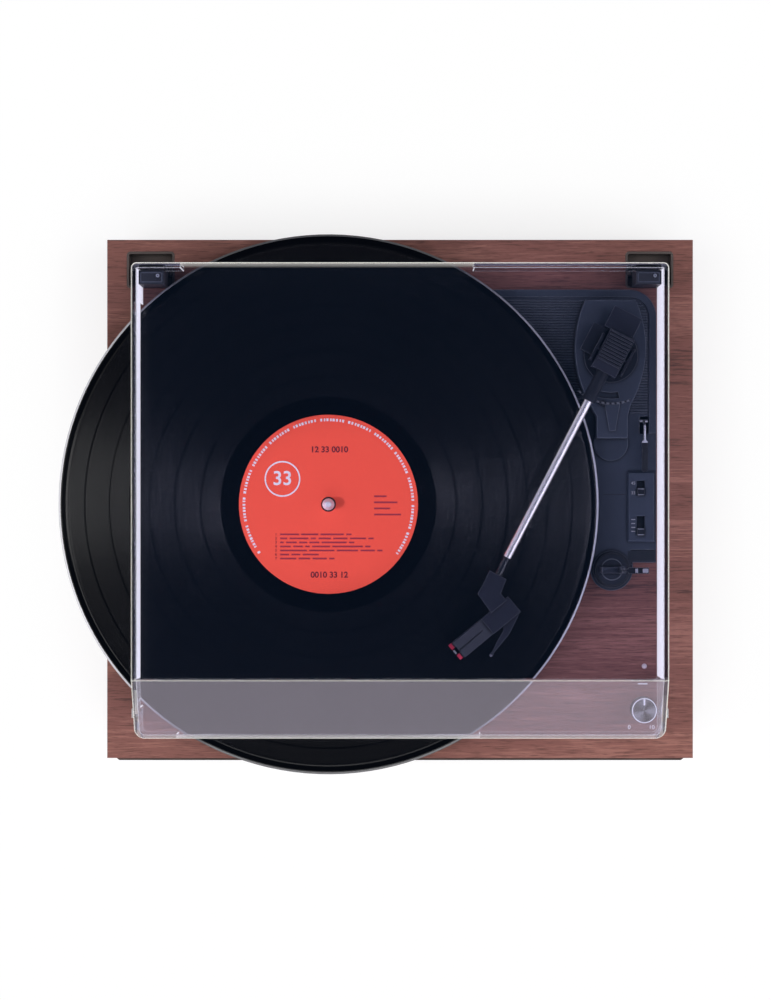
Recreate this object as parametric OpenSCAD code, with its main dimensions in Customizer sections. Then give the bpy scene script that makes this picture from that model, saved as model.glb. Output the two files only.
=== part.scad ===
// Compact belt-drive record player: wooden plinth, black moulded deck, straight tone arm, clear hinged cover.
// Millimetres. The origin is the middle of the footprint on the table. +X is right, +Y is the rear, +Z is up.

/* [Plinth] */
// How much wider than the record the plinth is, on each side
side_room = 14; // [10:0.5:30]
// How far the record is deeper than the plinth, at each end
record_over = 5; // [2:0.5:8]
// Height of the plinth without its feet
plinth_h = 65; // [60:1:90]
// Thickness of the top panel
top_t = 12; // [11:0.5:16]
// Thickness of the four side panels
side_t = 12; // [9:0.5:15]
// Thickness of the bottom panel
base_t = 4; // [3:0.5:8]
// Width of the glued corner blocks
block_w = 16; // [12:1:22]
// Height of the glued corner blocks
block_h = 28; // [15:1:30]
// Radius of a rubber foot
foot_r = 16; // [12:0.5:20]
// Height of a rubber foot
foot_h = 10; // [8:0.5:16]
// Distance of each foot's centre from the plinth's sides
foot_inset = 40; // [38:1:60]
// How far the front fascia stands proud
fascia_t = 2.2; // [1:0.1:4]
// How far the fascia stops short of the plinth's ends and top
fascia_inset = 3; // [1:0.5:8]

/* [Deck] */
// Thickness of the deck plate
deck_t = 2; // [1.6:0.1:3]
// How far the round part of the deck shows past the platter
deck_margin = 3; // [1:0.5:4]
// Width of the wing that carries the tone arm
wing_w = 164; // [150:1:180]
// Depth of the wing that carries the tone arm
wing_d = 153.5; // [146:0.5:170]
// Radius of the wing's rear right corner
deck_corner = 15; // [8:0.5:22]
// Width of the deck's smooth raised rim
rim_w = 4; // [2:0.5:6]
// Height of the deck's raised rim
rim_h = 0.6; // [0.3:0.1:0.9]
// Spacing of the deck's ribs
rib_pitch = 1.5; // [1.2:0.1:3]
// Height of the deck's ribs
rib_h = 0.4; // [0.2:0.1:0.8]
// Depth of the ribbed field, front to rear
rib_field = 64; // [40:1:66]

/* [Platter and record] */
// Spindle position from the plinth's middle, to the right
spindle_dx = -40; // [-44:0.5:-38]
// Gap between the record's edge and the hinge lugs
lug_clear = 1.1; // [0.6:0.1:4]
// Radius of the platter
platter_r = 100; // [88:0.5:104]
// Height of the platter
platter_h = 6.8; // [6:0.1:9]
// Gap between the deck and the platter
platter_gap = 1.2; // [1:0.1:2]
// Thickness of the platter's top and skirt
platter_skin = 2.5; // [2:0.1:3]
// Distance of the platter's drive ring from the platter's edge
ring_in = 40; // [38:0.5:50]
// Thickness of the slip mat
mat_t = 2; // [1:0.1:3]
// Radius of the record
record_r = 151; // [135:0.5:170]
// Thickness of the record
record_t = 2; // [1.6:0.1:3]
// Radius of the record's label
label_r = 50; // [40:0.5:54]
// Radius of the spindle above the platter
spindle_r = 3.57; // [3.3:0.01:3.6]
// Radius of the spindle's shaft in its bush
shaft_r = 3; // [2.5:0.1:3.2]
// Height of the spindle's tip above the record
spindle_rise = 8; // [6:0.5:11]

/* [Drive] */
// Distance of the motor's shaft from the platter's drive ring
motor_out = 11; // [10:0.5:14]
// Bearing of the motor from the spindle, from +X towards +Y
motor_deg = 135; // [100:1:170]
// Radius of the motor's can
motor_r = 18; // [14:0.5:20]
// Height of the motor's can
motor_h = 28; // [20:1:34]
// Radius of the motor's pulley
pulley_r = 5; // [3.5:0.1:6]
// Thickness of the drive belt
belt_t = 0.8; // [0.5:0.1:1.2]
// Height of the drive belt
belt_h = 3; // [2:0.1:3.4]

/* [Tone arm] */
// Distance of the arm's pivot from the deck's right edge
pivot_in = 26.5; // [25:0.5:30]
// Distance of the arm's pivot from the deck's rear edge
pivot_back = 37.7; // [34:0.1:42]
// Bearing of the arm at rest, from the front towards the spindle
arm_deg = 27.4; // [24:0.1:34]
// Bearing of the parked arm, from the front away from the spindle
park_deg = 0.7; // [0:0.1:2]
// Height of the arm's axis above the record
arm_rise = 14.5; // [13.5:0.1:17]
// Radius of the arm tube
tube_r = 2.4; // [2:0.1:3]
// Radius of the black collar
collar_r = 3.7; // [3.3:0.1:4.2]
// Distance from the pivot to the collar's front end
collar_end = 29; // [28:0.5:40]
// Distance from the pivot to the tube's front end
tube_end = 126.5; // [124:0.5:128]
// Distance from the pivot to the headshell's rear face
shell_start = 137.5; // [132:0.5:139]
// Distance from the pivot to the cartridge's front face
shell_reach = 184.5; // [180:0.5:188]
// Angle between the headshell and the arm
shell_deg = 22.7; // [18:0.1:26]
// Width of the headshell
shell_w = 10.8; // [9:0.1:13]
// Length of the headshell and cartridge together
shell_l = 40; // [38:0.5:44]
// Length of the cartridge
cartridge_l = 20.5; // [18:0.5:22]
// Length of the ribbed rear block
block_l = 18.6; // [16:0.1:20]
// Width of the ribbed rear block
block_wide = 14.6; // [12:0.1:15.6]
// Radius of the arm's turret
turret_r = 15; // [14:0.5:17]
// Height of the pedestal under the turret
pedestal_h = 14; // [12:0.5:15]
// Width of the pedestal at its widest
pedestal_w = 39.2; // [36:0.1:42]
// Radius of the pedestal's bowed sides
pedestal_arc = 65; // [55:1:90]
// Width of the pedestal's neck
neck_w = 17; // [15:0.5:20]
// Radius of the arm's vertical shaft
arm_shaft_r = 3; // [2.5:0.1:3.6]
// Radius at which the lift platform carries the arm
lift_r = 27; // [25:0.5:27.5]

/* [Arm rest and controls] */
// Distance from the pivot to the arm rest
rest_reach = 119.6; // [118:0.1:121]
// Radius of the arm rest's base
rest_r = 10.5; // [9:0.5:12]
// Thickness of the arm rest's post
rest_t = 3.4; // [3:0.1:5]
// Length of the arm rest's clip
clip_l = 14; // [11:0.5:15]
// Width of the switch plate
plate_w = 15.8; // [14:0.1:16]
// Depth of the switch plate
plate_d = 39.9; // [38:0.1:41]
// Height of the switch plate
plate_h = 1.6; // [1.2:0.1:2]
// Travel of the speed switch
speed_travel = 4; // [3:0.1:5]
// Travel of the stop switch
stop_travel = 6.6; // [5:0.1:7]
// Length of the cue lever's handle
cue_handle_l = 18; // [14:0.5:20]
// Radius of the volume knob
knob_r = 7.2; // [6:0.1:9]
// Height of the volume knob
knob_h = 11.5; // [9:0.5:14]
// Distance of the volume knob from the cover's front
knob_in = 15.3; // [12:0.1:20]
// Radius of the power light
led_r = 1.4; // [1:0.1:2.5]

/* [Dust cover] */
// Height of the dust cover
lid_h = 49.5; // [49:0.5:60]
// Wall thickness of the dust cover
lid_wall = 2.5; // [2:0.1:3.2]
// Gap between the cover's walls and the plinth
lid_gap = 0.5; // [0.4:0.1:0.7]
// Margin between the cover and the plinth's sides
lid_side = 17.8; // [16:0.1:19]
// Margin between the cover and the plinth's rear
lid_rear = 16.6; // [15.5:0.1:18]
// Margin between the cover and the plinth's front
lid_front = 13; // [10:0.1:16]
// Depth of the cover's sloped front, seen from above
slope_run = 33.5; // [30:0.5:36]
// Drop of the cover's sloped front
slope_drop = 24; // [20:0.5:26]
// Radius of the cover's front corners
corner_front = 5.6; // [4:0.1:8]
// Radius of the cover's rear corners
corner_rear = 3; // [2.8:0.1:5]
// Height of the cut-outs that let the record pass through the cover
cut_h = 18; // [17:0.5:20]

/* [Hinges and jacks] */
// Width of a hinge pocket
pocket_w = 27; // [26.6:0.1:29]
// Depth of a hinge pocket, front to rear
pocket_d = 20.8; // [19:0.1:22]
// How deep a hinge pocket is sunk into the top panel
pocket_sink = 9; // [8.5:0.1:10]
// How far a hinge pocket reaches past the cover's side
pocket_side = 6.8; // [6.4:0.1:7.6]
// How far a hinge pocket reaches past the cover's rear
pocket_rear = 10.1; // [9.9:0.1:11]
// Radius of a hinge pin
pin_r = 1.5; // [1.2:0.1:1.5]
// Depth of the hinge axis below the plinth's top
hinge_sink = 1.5; // [1.3:0.1:1.7]
// Width of the jack plate
jack_plate_w = 70; // [66:1:90]
// Radius of a phono socket's barrel
jack_r = 4.15; // [4:0.05:4.4]
// Radius of a phono socket's bore
jack_bore_r = 1.6; // [1.5:0.05:1.7]

/* [Fits] */
// Radial clearance of a running fit
run_gap = 0.05; // [0.03:0.01:0.08]
// Clearance between pieces that move past each other
body_gap = 0.3; // [0.25:0.05:0.4]
// Clearance of a fixed piece in its seat
seat_gap = 0.1; // [0.05:0.01:0.15]

/* [Hidden] */
$fn = 96;
cut = 1;

half_w = record_r + side_room;
half_d = record_r - record_over;
z_top = foot_h + plinth_h;
z_deck = z_top + deck_t;
z_base = foot_h + base_t;
wall_top = z_top - top_t;

// Dust cover, from the plinth's edges inwards
lid_x = half_w - lid_side;
lid_y0 = -half_d + lid_front;
lid_y1 = half_d - lid_rear;
lid_z0 = z_top + lid_gap;
lid_z1 = lid_z0 + lid_h;
slope_y = lid_y0 + slope_run;
slope_z = lid_z1 - slope_drop;
slope_a = atan2(slope_drop, slope_run);
lid_in_x = lid_x - lid_wall;
cut_z = z_top + cut_h;
cut_clear = 3.5;

// Hinges, from the cover's rear corners
pocket_cx = lid_x + pocket_side - pocket_w / 2;
pocket_cy = lid_y1 + pocket_rear - pocket_d / 2;
pocket_in_x = pocket_cx - pocket_w / 2;
pocket_y0 = pocket_cy - pocket_d / 2;
pocket_r = 2.2;
cup_wall = 1.2;
hinge_y = lid_y1 - 1;
hinge_z = z_top - hinge_sink;
knuckle_r = pin_r + 1.7;
ear_r = pin_r + 1.1;
ear_t = 2.7;
ear_in_x = pocket_in_x + cup_wall / 2;
ear_out_x = lid_x + 0.8;
lug_x0 = ear_in_x + ear_t + body_gap;
lug_rise = 12;
lug_d = 9.5;
bumper_in = 10.5;
bumper_l = 5;
bumper_t = 0.7;
bumper_h = 3;
bumper_drop = lid_gap / 2;

// The spindle, as far to the rear as the left hinge lug allows
spindle_dy = hinge_y - lug_d - lug_clear - chord(lug_x0 + spindle_dx);

// The footprint's middle lies between the plinth's edges and the record's overhang
plinth_x = -(min(-half_w, spindle_dx - record_r) + max(half_w, spindle_dx + record_r)) / 2;
plinth_y = -(min(-half_d - fascia_t, spindle_dy - record_r) + max(half_d, spindle_dy + record_r)) / 2;

// Deck, from the platter, the cover's right wall and the hinge pockets
deck_r = platter_r + deck_margin;
deck_x1 = lid_in_x - 0.7;
deck_y1 = pocket_y0 - 1;
wing_x0 = deck_x1 - wing_w;
wing_y0 = deck_y1 - wing_d;
deck_lap = 3;
disc_lap = 8;
step_w = 14.3;
step_d = 7.3;
step_sink = deck_t / 2;
rib_l = 75;
deck_screw_r = 1.5;
deck_screw_l = 9;
deck_screw_bearings = [100, 160, 220, 280];
screw_head_r = 2.9;

// Platter stack
platter_z = z_deck + platter_gap;
platter_top = platter_z + platter_h;
platter_under = platter_top - platter_skin;
record_z = platter_top + mat_t;
record_top = record_z + record_t;
label_t = 0.15;
groove_relief = 0.25;
land_r = label_r + 2;
bead_in = 5.3;
bead_r = record_r - bead_in;
tip_step = 0.35;
tip_r = spindle_r - tip_step;
tip_h = 2;
flange_r = 8;
flange_t = 1.5;
bush_r = 6;
bush_flange_r = 9;
bush_flange_t = 1;
boss_r = 10;
boss_l = 13;
bush_l = 17;
shaft_l = 13;

// Motor
ring_r = platter_r - ring_in;
motor_reach = ring_r + motor_out;
motor_x = spindle_dx + motor_reach * cos(motor_deg);
motor_y = spindle_dy + motor_reach * sin(motor_deg);
motor_shaft_r = 1;
motor_hole_r = motor_shaft_r + 3;
motor_screw_r = 1.3;
motor_screw_in = 10;
motor_screw_l = 6;
belt_mid = (platter_z + platter_under) / 2;

// Tone arm
pivot_dx = deck_x1 - pivot_in;
pivot_dy = deck_y1 - pivot_back;
arm_z = record_top + arm_rise;
pedestal_top = z_deck + pedestal_h;
pedestal_mid = 4.5;
pedestal_rear = 31;
neck_start = 27;
neck_end = 46;
shoulder = 7;
neck_dx = 0.9;
bump_r = 9.65;
bump_h = 1.6;
bump_out = 2.8;
wedge_w = 8.5;
wedge_l = 15;
wedge_h = 0.8;
groove_in = 6.5;
groove_w = 3.6;
groove_sink = 2;
groove_span = 44;
turret_t = 3;
turret_z = pedestal_top + body_gap;
turret_top = turret_z + turret_t;
arm_bush_r = arm_shaft_r + 2;
arm_bush_drop = 11;
cheek_in = block_wide / 2 + 1.5;
cheek_t = 1.4;
cheek_l = 16;
cheek_top = arm_z + 3.5;
housing_y = 17;
housing_back = 11.4;
housing_front = 5;
housing_top = arm_z - 2.5;
gimbal_r = 1;
block_back = 12.3;
block_rear = -block_back;
block_front = block_rear + block_l;
block_taper = 4.7;
block_nose = block_front + block_taper;
block_half_h = 6.5;
block_z0 = arm_z - block_half_h;
block_top = arm_z + block_half_h;
block_nose_top = arm_z + collar_r + body_gap;
block_rib_h = 0.8;
block_rib_in = 0.8;
block_ribs = 10;
tail_l = 12.7;
tail_left = 11;
tail_right = 6;
tail_drop = 7.5;
tail_z0 = arm_z - tail_drop;
tail_sink = 1.5;
tail_top = arm_z - tail_sink;
tube_start = block_nose + 3;
ferrule_r = tube_r - 0.3;
shell_hold = 4;
shell_h = 8;
neck_half = 5.1;
neck_right = 8.5;
neck_left = 14.5;
neck_flare = 0.8;
neck_lap = 2;
neck_reach = 13;
finger_t = 1.2;
finger_l = 27.2;
finger_out = 7.9;
finger_root = 12.5;
finger_w = 0.9;
finger_tip_r = 1;
cartridge_w = shell_w - 0.4;
cartridge_z0 = record_top + 4;
cartridge_top = arm_z + 1.2;
holder_h = 2.4;
holder_l = 9;
prong_w = 3.2;
prong_l = 3;
stylus_in = 1.2;
stylus_gap = 0.3;
lift_bar = 1.4;
lift_top = arm_z - collar_r - body_gap;
lift_from = 270 - arm_deg - 16;
lift_to = 270 + park_deg + 22;
lift_mid = (lift_from + lift_to) / 2;
lift_post_r = 1.5;
lift_post_up = 2;

// Arm rest
rest_x = pivot_dx + rest_reach * sin(park_deg);
rest_y = pivot_dy - rest_reach * cos(park_deg);
rest_base_h = 2;
tongue_rim = 1.5;
rest_disc_h = 2;
rest_gap = 0.4;
rest_slot = tube_r + rest_gap;
rest_floor = arm_z - rest_slot;
rest_jaw = 4.2;
rest_left = rest_slot + rest_jaw;
rest_horn = 3.2;
rest_right = rest_slot + rest_horn;
clip_x = rest_slot + 1.6;
clip_z = arm_z + tube_r + 1.6;
clip_r = 1.6;
clip_t = 1.6;
clip_pin_r = 0.6;
clip_tip = 2.6;

// Switches and cue lever
plate_x = deck_x1 - 0.5 - plate_w / 2;
plate_in = 11.45;
plate_y = wing_y0 + plate_in + plate_d / 2;
plate_bevel = 1;
slot_w = 4.7;
switch_x = plate_x - 0.3;
nub_l = 4;
nub_rise = 1.4;
speed_back = 10.4;
speed_y = plate_y + speed_back;
stop_front = 10.8;
stop_y = plate_y - stop_front;
switch_body_w = 11;
switch_body_d = 17;
switch_body_h = 8;
cue_in = 6.7;
cue_x = deck_x1 - cue_in;
cue_back = 36;
cue_y = pivot_dy - cue_back;
cue_z = z_top - 1.2;
cue_slot_w = 5.4;
cue_slot_d = 10;
cue_wire_r = 0.7;
cue_shaft_r = 1;
cue_handle_w = 3.2;
cue_handle_t = 2.6;
cue_rise = 7;
cue_reach = 12;
cue_ear_t = 1;
cue_ear_h = 3;

// Volume control and power light
knob_x = lid_in_x - 0.9 - knob_r;
knob_y = lid_y0 + knob_in;
knob_lift = 1.5;
knob_chamfer = 0.8;
pot_r = 8;
pot_h = 9;
pot_shaft_r = 3;
pot_bush_r = 4;
pot_bush_rise = 1;
led_x = knob_x + 1;
led_back = 23.5;
led_y = knob_y + led_back;
led_l = 8;

// Rear jacks and circuit board
jack_side = 95;
jack_x = jack_side - half_w;
jack_rise = 26;
jack_z = foot_h + jack_rise;
jack_plate_h = 30;
jack_plate_t = 1.5;
jack_lap = 4;
jack_l = 9;
jack_pitch = 16;
jack_back = 8;
jack_y = half_d - side_t;
dc_r = 4.5;
dc_bore_r = 2.75;
jack_screw_r = 1.3;
jack_screw_l = 6;
jack_head_r = 2.5;
jack_head_t = 1.5;
board_w = 80;
board_d = 55;
board_t = 1.6;
board_side = 95;
board_x = half_w - board_side;
board_front = 86;
board_y = board_front - half_d;
cap_h = 14;
cap_r = 5;
chip_h = 6;
post_in = 4;
board_rise = 6;
board_post_r = 3;

// Base fixings
block_cx = half_w - side_t - block_w / 2;
block_cy = half_d - side_t - block_w / 2;
base_screw_r = 1.7;
base_screw_head_r = 3.2;
base_screw_head = 2;
base_screw_l = 14;
foot_x = half_w - foot_inset;
foot_y = half_d - foot_inset;
foot_screw_r = 2;
foot_head_r = 4.5;
foot_head_h = 2.5;
foot_web = 4;
foot_floor = foot_h - foot_web;
foot_screw_over = 3;
foot_screw_l = foot_web + base_t + foot_screw_over;

// Half the length of the record's chord at a distance from the spindle
function chord(d) = sqrt(max(record_r * record_r - d * d, 0));

// Half the pedestal's width at a distance in front of its widest place
function bow(y) = sqrt(pedestal_arc * pedestal_arc - y * y) - pedestal_arc + pedestal_w / 2;

// Places
module on_plinth() translate([plinth_x, plinth_y, 0]) children();

module at_spindle() on_plinth() translate([spindle_dx, spindle_dy, 0]) children();

module at_motor() on_plinth() translate([motor_x, motor_y, 0]) children();

module at_pivot() on_plinth() translate([pivot_dx, pivot_dy, 0]) children();

// Along the arm: +X from the pivot to the stylus, +Y to the arm's right, Z from the arm's axis
module on_arm() at_pivot() translate([0, 0, arm_z]) rotate([0, 0, 270 - arm_deg]) children();

// Along the headshell: +X forwards from the cartridge's front face
module on_shell() on_arm() translate([shell_reach, 0, 0]) rotate([0, 0, -shell_deg]) children();

module at_rest() on_plinth() translate([rest_x, rest_y, 0]) children();

module at_knob() on_plinth() translate([knob_x, knob_y, 0]) children();

module both_sides() for (s = [0, 1]) on_plinth() mirror([s, 0, 0]) children();

module at_corners(x, y) for (i = [-1, 1], j = [-1, 1]) on_plinth() translate([i * x, j * y, 0]) children();

// Shapes
module tube(r_out, r_in, h) {
    difference() {
        cylinder(h = h, r = r_out);
        translate([0, 0, -cut]) cylinder(h = h + 2 * cut, r = r_in);
    }
}

module rod_x(x0, x1, r) translate([x0, 0, 0]) rotate([0, 90, 0]) cylinder(h = x1 - x0, r = r);

module rod_y(y0, y1, r) translate([0, y0, 0]) rotate([-90, 0, 0]) cylinder(h = y1 - y0, r = r);

module rod(a, b, r) {
    d = b - a;
    translate(a) rotate([0, acos(d.z / norm(d)), atan2(d.y, d.x)]) cylinder(h = norm(d), r = r);
}

module box(x, y, z) translate([x[0], y[0], z[0]]) cube([x[1] - x[0], y[1] - y[0], z[1] - z[0]]);

module rounded(size, r) {
    square([size.x - 2 * r, size.y], center = true);
    square([size.x, size.y - 2 * r], center = true);
    for (i = [-1, 1], j = [-1, 1]) translate([i * (size.x / 2 - r), j * (size.y / 2 - r)]) circle(r);
}

module deck_outline(disc_inset, wing_inset) {
    r = deck_corner - wing_inset;
    x1 = deck_x1 - wing_inset;
    y1 = deck_y1 - wing_inset;
    translate([spindle_dx, spindle_dy]) circle(deck_r - disc_inset);
    translate([wing_x0 + wing_inset, wing_y0 + wing_inset]) {
        square([x1 - wing_x0 - wing_inset, y1 - r - wing_y0 - wing_inset]);
        square([x1 - r - wing_x0 - wing_inset, y1 - wing_y0 - wing_inset]);
    }
    translate([x1 - r, y1 - r]) circle(r);
    tongue = rest_r + tongue_rim - wing_inset;
    translate([rest_x, rest_y]) circle(tongue);
    translate([rest_x - tongue, rest_y]) square([2 * tongue, max(wing_y0 + wing_inset - rest_y, 0) + cut]);
}

module pocket_outline(inset) {
    size = [pocket_w - 2 * inset, pocket_d - 2 * inset];
    translate([pocket_cx, pocket_cy]) rounded(size, pocket_r - inset);
}

module countersunk(r, l) {
    translate([0, 0, -l]) cylinder(h = l, r = r);
    translate([0, 0, r - screw_head_r]) cylinder(h = screw_head_r - r, r1 = r, r2 = screw_head_r);
}

module at_deck_screws() for (a = deck_screw_bearings)
    at_spindle() rotate([0, 0, a]) translate([deck_r - disc_lap / 2, 0, 0]) children();

module at_motor_screws() for (s = [-1, 1]) at_motor() translate([0, s * motor_screw_in, 0]) children();

// Plinth
module top_panel() color("#7d5850") difference() {
    on_plinth() box([-half_w, half_w], [-half_d, half_d], [wall_top, z_top]);
    on_plinth() translate([0, 0, wall_top - cut]) linear_extrude(top_t + 2 * cut)
        deck_outline(disc_lap, deck_lap);
    both_sides() translate([0, 0, z_top - pocket_sink]) linear_extrude(pocket_sink + cut) pocket_outline(0);
    at_knob() translate([0, 0, wall_top - cut]) cylinder(h = top_t + 2 * cut, r = pot_bush_r + seat_gap);
    on_plinth() translate([led_x, led_y, wall_top - cut]) cylinder(h = top_t + 2 * cut, r = led_r + seat_gap);
    at_deck_screws() translate([0, 0, z_deck - deck_screw_l - cut])
        cylinder(h = deck_screw_l + cut, r = deck_screw_r + seat_gap);
}

module front_panel() color("#744f47")
    on_plinth() box([-half_w, half_w], [-half_d, side_t - half_d], [foot_h, wall_top]);

module rear_panel() color("#744f47") difference() {
    on_plinth() box([-half_w, half_w], [jack_y, half_d], [foot_h, wall_top]);
    on_plinth() translate([jack_x, 0, jack_z])
        box((jack_plate_w / 2 - jack_lap) * [-1, 1], [jack_y - cut, half_d + cut],
            (jack_plate_h / 2 - jack_lap) * [-1, 1]);
    at_jack_screws() rod_y(-cut, jack_screw_l + cut, jack_screw_r + seat_gap);
}

module left_panel() color("#744f47")
    on_plinth() box([-half_w, side_t - half_w], [side_t - half_d, jack_y], [foot_h, wall_top]);

module right_panel() color("#744f47")
    on_plinth() box([half_w - side_t, half_w], [side_t - half_d, jack_y], [foot_h, wall_top]);

module front_fascia() color("#3a2925") {
    x = half_w - fascia_inset;
    z0 = foot_h + fascia_inset;
    on_plinth() translate([0, -half_d, z0]) linear_extrude(wall_top - z0)
        polygon([[-x, 0], [x, 0], [x - 1.2 * fascia_t, -fascia_t], [1.2 * fascia_t - x, -fascia_t]]);
}

module corner_blocks() color("#b08d62") difference() {
    at_corners(block_cx, block_cy)
        box(block_w / 2 * [-1, 1], block_w / 2 * [-1, 1], [z_base, z_base + block_h]);
    at_corners(block_cx, block_cy) translate([0, 0, z_base - cut])
        cylinder(h = base_screw_l - base_t + 2 * cut, r = base_screw_r + seat_gap);
}

module bottom_panel() color("#5b4a3e") difference() {
    on_plinth() box([side_t - half_w, half_w - side_t], [side_t - half_d, half_d - side_t], [foot_h, z_base]);
    at_corners(block_cx, block_cy) translate([0, 0, foot_h - cut])
        cylinder(h = base_t + 2 * cut, r = base_screw_r + seat_gap);
    at_corners(foot_x, foot_y) translate([0, 0, foot_h - cut])
        cylinder(h = base_t + 2 * cut, r = foot_screw_r + seat_gap);
}

module base_screws() color("#b9bcc0") {
    at_corners(block_cx, block_cy) {
        translate([0, 0, foot_h - base_screw_head]) cylinder(h = base_screw_head, r = base_screw_head_r);
        translate([0, 0, foot_h - cut]) cylinder(h = base_screw_l + cut, r = base_screw_r);
    }
    at_corners(foot_x, foot_y) {
        translate([0, 0, foot_floor - foot_head_h]) cylinder(h = foot_head_h, r = foot_head_r);
        translate([0, 0, foot_floor - cut]) cylinder(h = foot_screw_l + cut, r = foot_screw_r);
    }
}

module feet() color("#1d1d1f") difference() {
    at_corners(foot_x, foot_y) {
        cylinder(h = foot_h / 2, r1 = foot_r - 1.5, r2 = foot_r);
        translate([0, 0, foot_h / 2]) cylinder(h = foot_h / 2, r = foot_r);
    }
    at_corners(foot_x, foot_y) {
        translate([0, 0, -cut]) cylinder(h = foot_floor + cut, r = foot_head_r + 1);
        translate([0, 0, -cut]) cylinder(h = foot_h + 2 * cut, r = foot_screw_r + seat_gap);
    }
}

// Deck
// Where a rib ends at the rounded rear corner, and how much of it the pedestal takes on each side
function rib_end(y) = let (r = deck_corner - rim_w - 1, dy = y - deck_y1 + deck_corner)
    deck_x1 - deck_corner + (dy > 0 ? sqrt(max(r * r - dy * dy, 0)) : r);

function rib_break(y) = y > pedestal_rear ? 0 : bow(max(y, -neck_start) - pedestal_mid) + body_gap;

module deck_ribs() {
    y1 = deck_y1 - rim_w - rib_pitch;
    z = [z_deck - deck_t / 4, z_deck + rib_h];
    for (y = [y1 - rib_field : rib_pitch : y1]) {
        gap = max(rib_break(y - pivot_dy), rib_break(y - pivot_dy + rib_pitch / 2));
        box([pivot_dx - rib_l, pivot_dx - gap], [y, y + rib_pitch / 2], z);
        box([pivot_dx + gap, rib_end(y + rib_pitch / 2)], [y, y + rib_pitch / 2], z);
    }
}

module deck_plate() color("#2b3342") difference() {
    union() {
        on_plinth() translate([0, 0, z_top]) linear_extrude(deck_t) deck_outline(0, 0);
        on_plinth() translate([0, 0, z_deck]) linear_extrude(rim_h) difference() {
            deck_outline(0, 0);
            deck_outline(rim_w, rim_w);
            translate([rest_x, rest_y]) circle(rest_r + 2);
            translate([deck_x1 - step_w - rim_w, wing_y0 - rim_w]) square([step_w + 2 * rim_w, wing_d / 2]);
        }
        on_plinth() deck_ribs();
        at_spindle() translate([0, 0, z_top - boss_l]) cylinder(h = boss_l + cut, r = boss_r);
    }
    on_plinth() box([deck_x1 - step_w, deck_x1 + cut], [wing_y0 - cut, wing_y0 + step_d],
        [z_deck - step_sink, z_deck + 2 * cut]);
    at_spindle() translate([0, 0, z_top - boss_l - cut])
        cylinder(h = boss_l + 4 * cut, r = bush_r + seat_gap);
    at_motor() translate([0, 0, z_top - cut]) cylinder(h = deck_t + 2 * cut, r = motor_hole_r);
    at_pivot() translate([0, 0, z_top - cut]) cylinder(h = deck_t + 2 * cut, r = arm_bush_r + seat_gap);
    on_plinth() translate([cue_x, cue_y - cue_slot_d / 4, z_top - cut]) linear_extrude(deck_t + 2 * cut)
        rounded([cue_slot_w, cue_slot_d], 1);
    switch_slots();
    at_deck_screws() translate([0, 0, z_deck]) countersunk(deck_screw_r + seat_gap, deck_screw_l);
    at_motor_screws() translate([0, 0, z_deck]) countersunk(motor_screw_r + seat_gap, deck_t + cut);
}

module deck_screws() color("#8f9296") {
    at_deck_screws() translate([0, 0, z_deck]) countersunk(deck_screw_r, deck_screw_l);
    at_motor_screws() translate([0, 0, z_deck]) countersunk(motor_screw_r, motor_screw_l + deck_t - seat_gap);
}

// Pedestal, seen from above and measured from the pivot
module pedestal_outline() {
    front = bow(neck_start + pedestal_mid);
    intersection() {
        translate([pedestal_arc - pedestal_w / 2, pedestal_mid]) circle(pedestal_arc);
        translate([pedestal_w / 2 - pedestal_arc, pedestal_mid]) circle(pedestal_arc);
        translate([-pedestal_w, -neck_start]) square([2 * pedestal_w, neck_start + pedestal_rear]);
    }
    polygon([
        [-front, -neck_start], [front, -neck_start],
        [neck_dx + neck_w / 2, -neck_start - shoulder], [neck_dx - neck_w / 2, -neck_start - shoulder]
    ]);
    translate([neck_dx - neck_w / 2, -neck_end]) square([neck_w, neck_end - neck_start]);
}

module arm_pedestal() color("#303848") difference() {
    at_pivot() union() {
        translate([0, 0, z_deck]) linear_extrude(pedestal_h) pedestal_outline();
        translate([neck_dx, -neck_end - bump_out, z_deck]) cylinder(h = bump_h, r = bump_r);
        translate([neck_dx, -neck_start, pedestal_top - cut]) linear_extrude(cut + wedge_h)
            polygon([[-wedge_w / 2, 0], [wedge_w / 2, 0], [wedge_w / 5, -wedge_l], [-wedge_w / 5, -wedge_l]]);
    }
    at_pivot() translate([0, 0, z_deck - cut]) cylinder(h = pedestal_h + 2 * cut, r = arm_bush_r + seat_gap);
    at_lift() translate([0, 0, z_deck - cut]) cylinder(h = pedestal_h + 3 * cut, r = lift_post_r + run_gap);
    at_pivot() translate([0, 0, pedestal_top - groove_sink]) rotate([0, 0, lift_mid - groove_span / 2])
        rotate_extrude(angle = groove_span) translate([lift_r - groove_in, 0])
            square([groove_w, groove_sink + cut]);
}

// Bearings and drive
module spindle_bush() color("#c9a24a") at_spindle() difference() {
    union() {
        translate([0, 0, z_top - bush_l]) cylinder(h = bush_l + deck_t, r = bush_r);
        translate([0, 0, z_deck]) cylinder(h = bush_flange_t, r = bush_flange_r);
    }
    translate([0, 0, z_top - shaft_l - body_gap])
        cylinder(h = shaft_l + deck_t + 4 * cut, r = shaft_r + run_gap);
}

module motor_can() color("#9aa0a6") difference() {
    at_motor() translate([0, 0, z_top - motor_h]) cylinder(h = motor_h, r = motor_r);
    at_motor() translate([0, 0, z_top - motor_h / 2]) cylinder(h = motor_h, r = motor_shaft_r + run_gap);
    at_motor_screws() translate([0, 0, z_top - motor_screw_l])
        cylinder(h = motor_h, r = motor_screw_r + seat_gap);
}

module belt_loop(grow) hull() {
    circle(ring_r + grow);
    translate([motor_reach, 0]) circle(pulley_r + grow);
}

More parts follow.
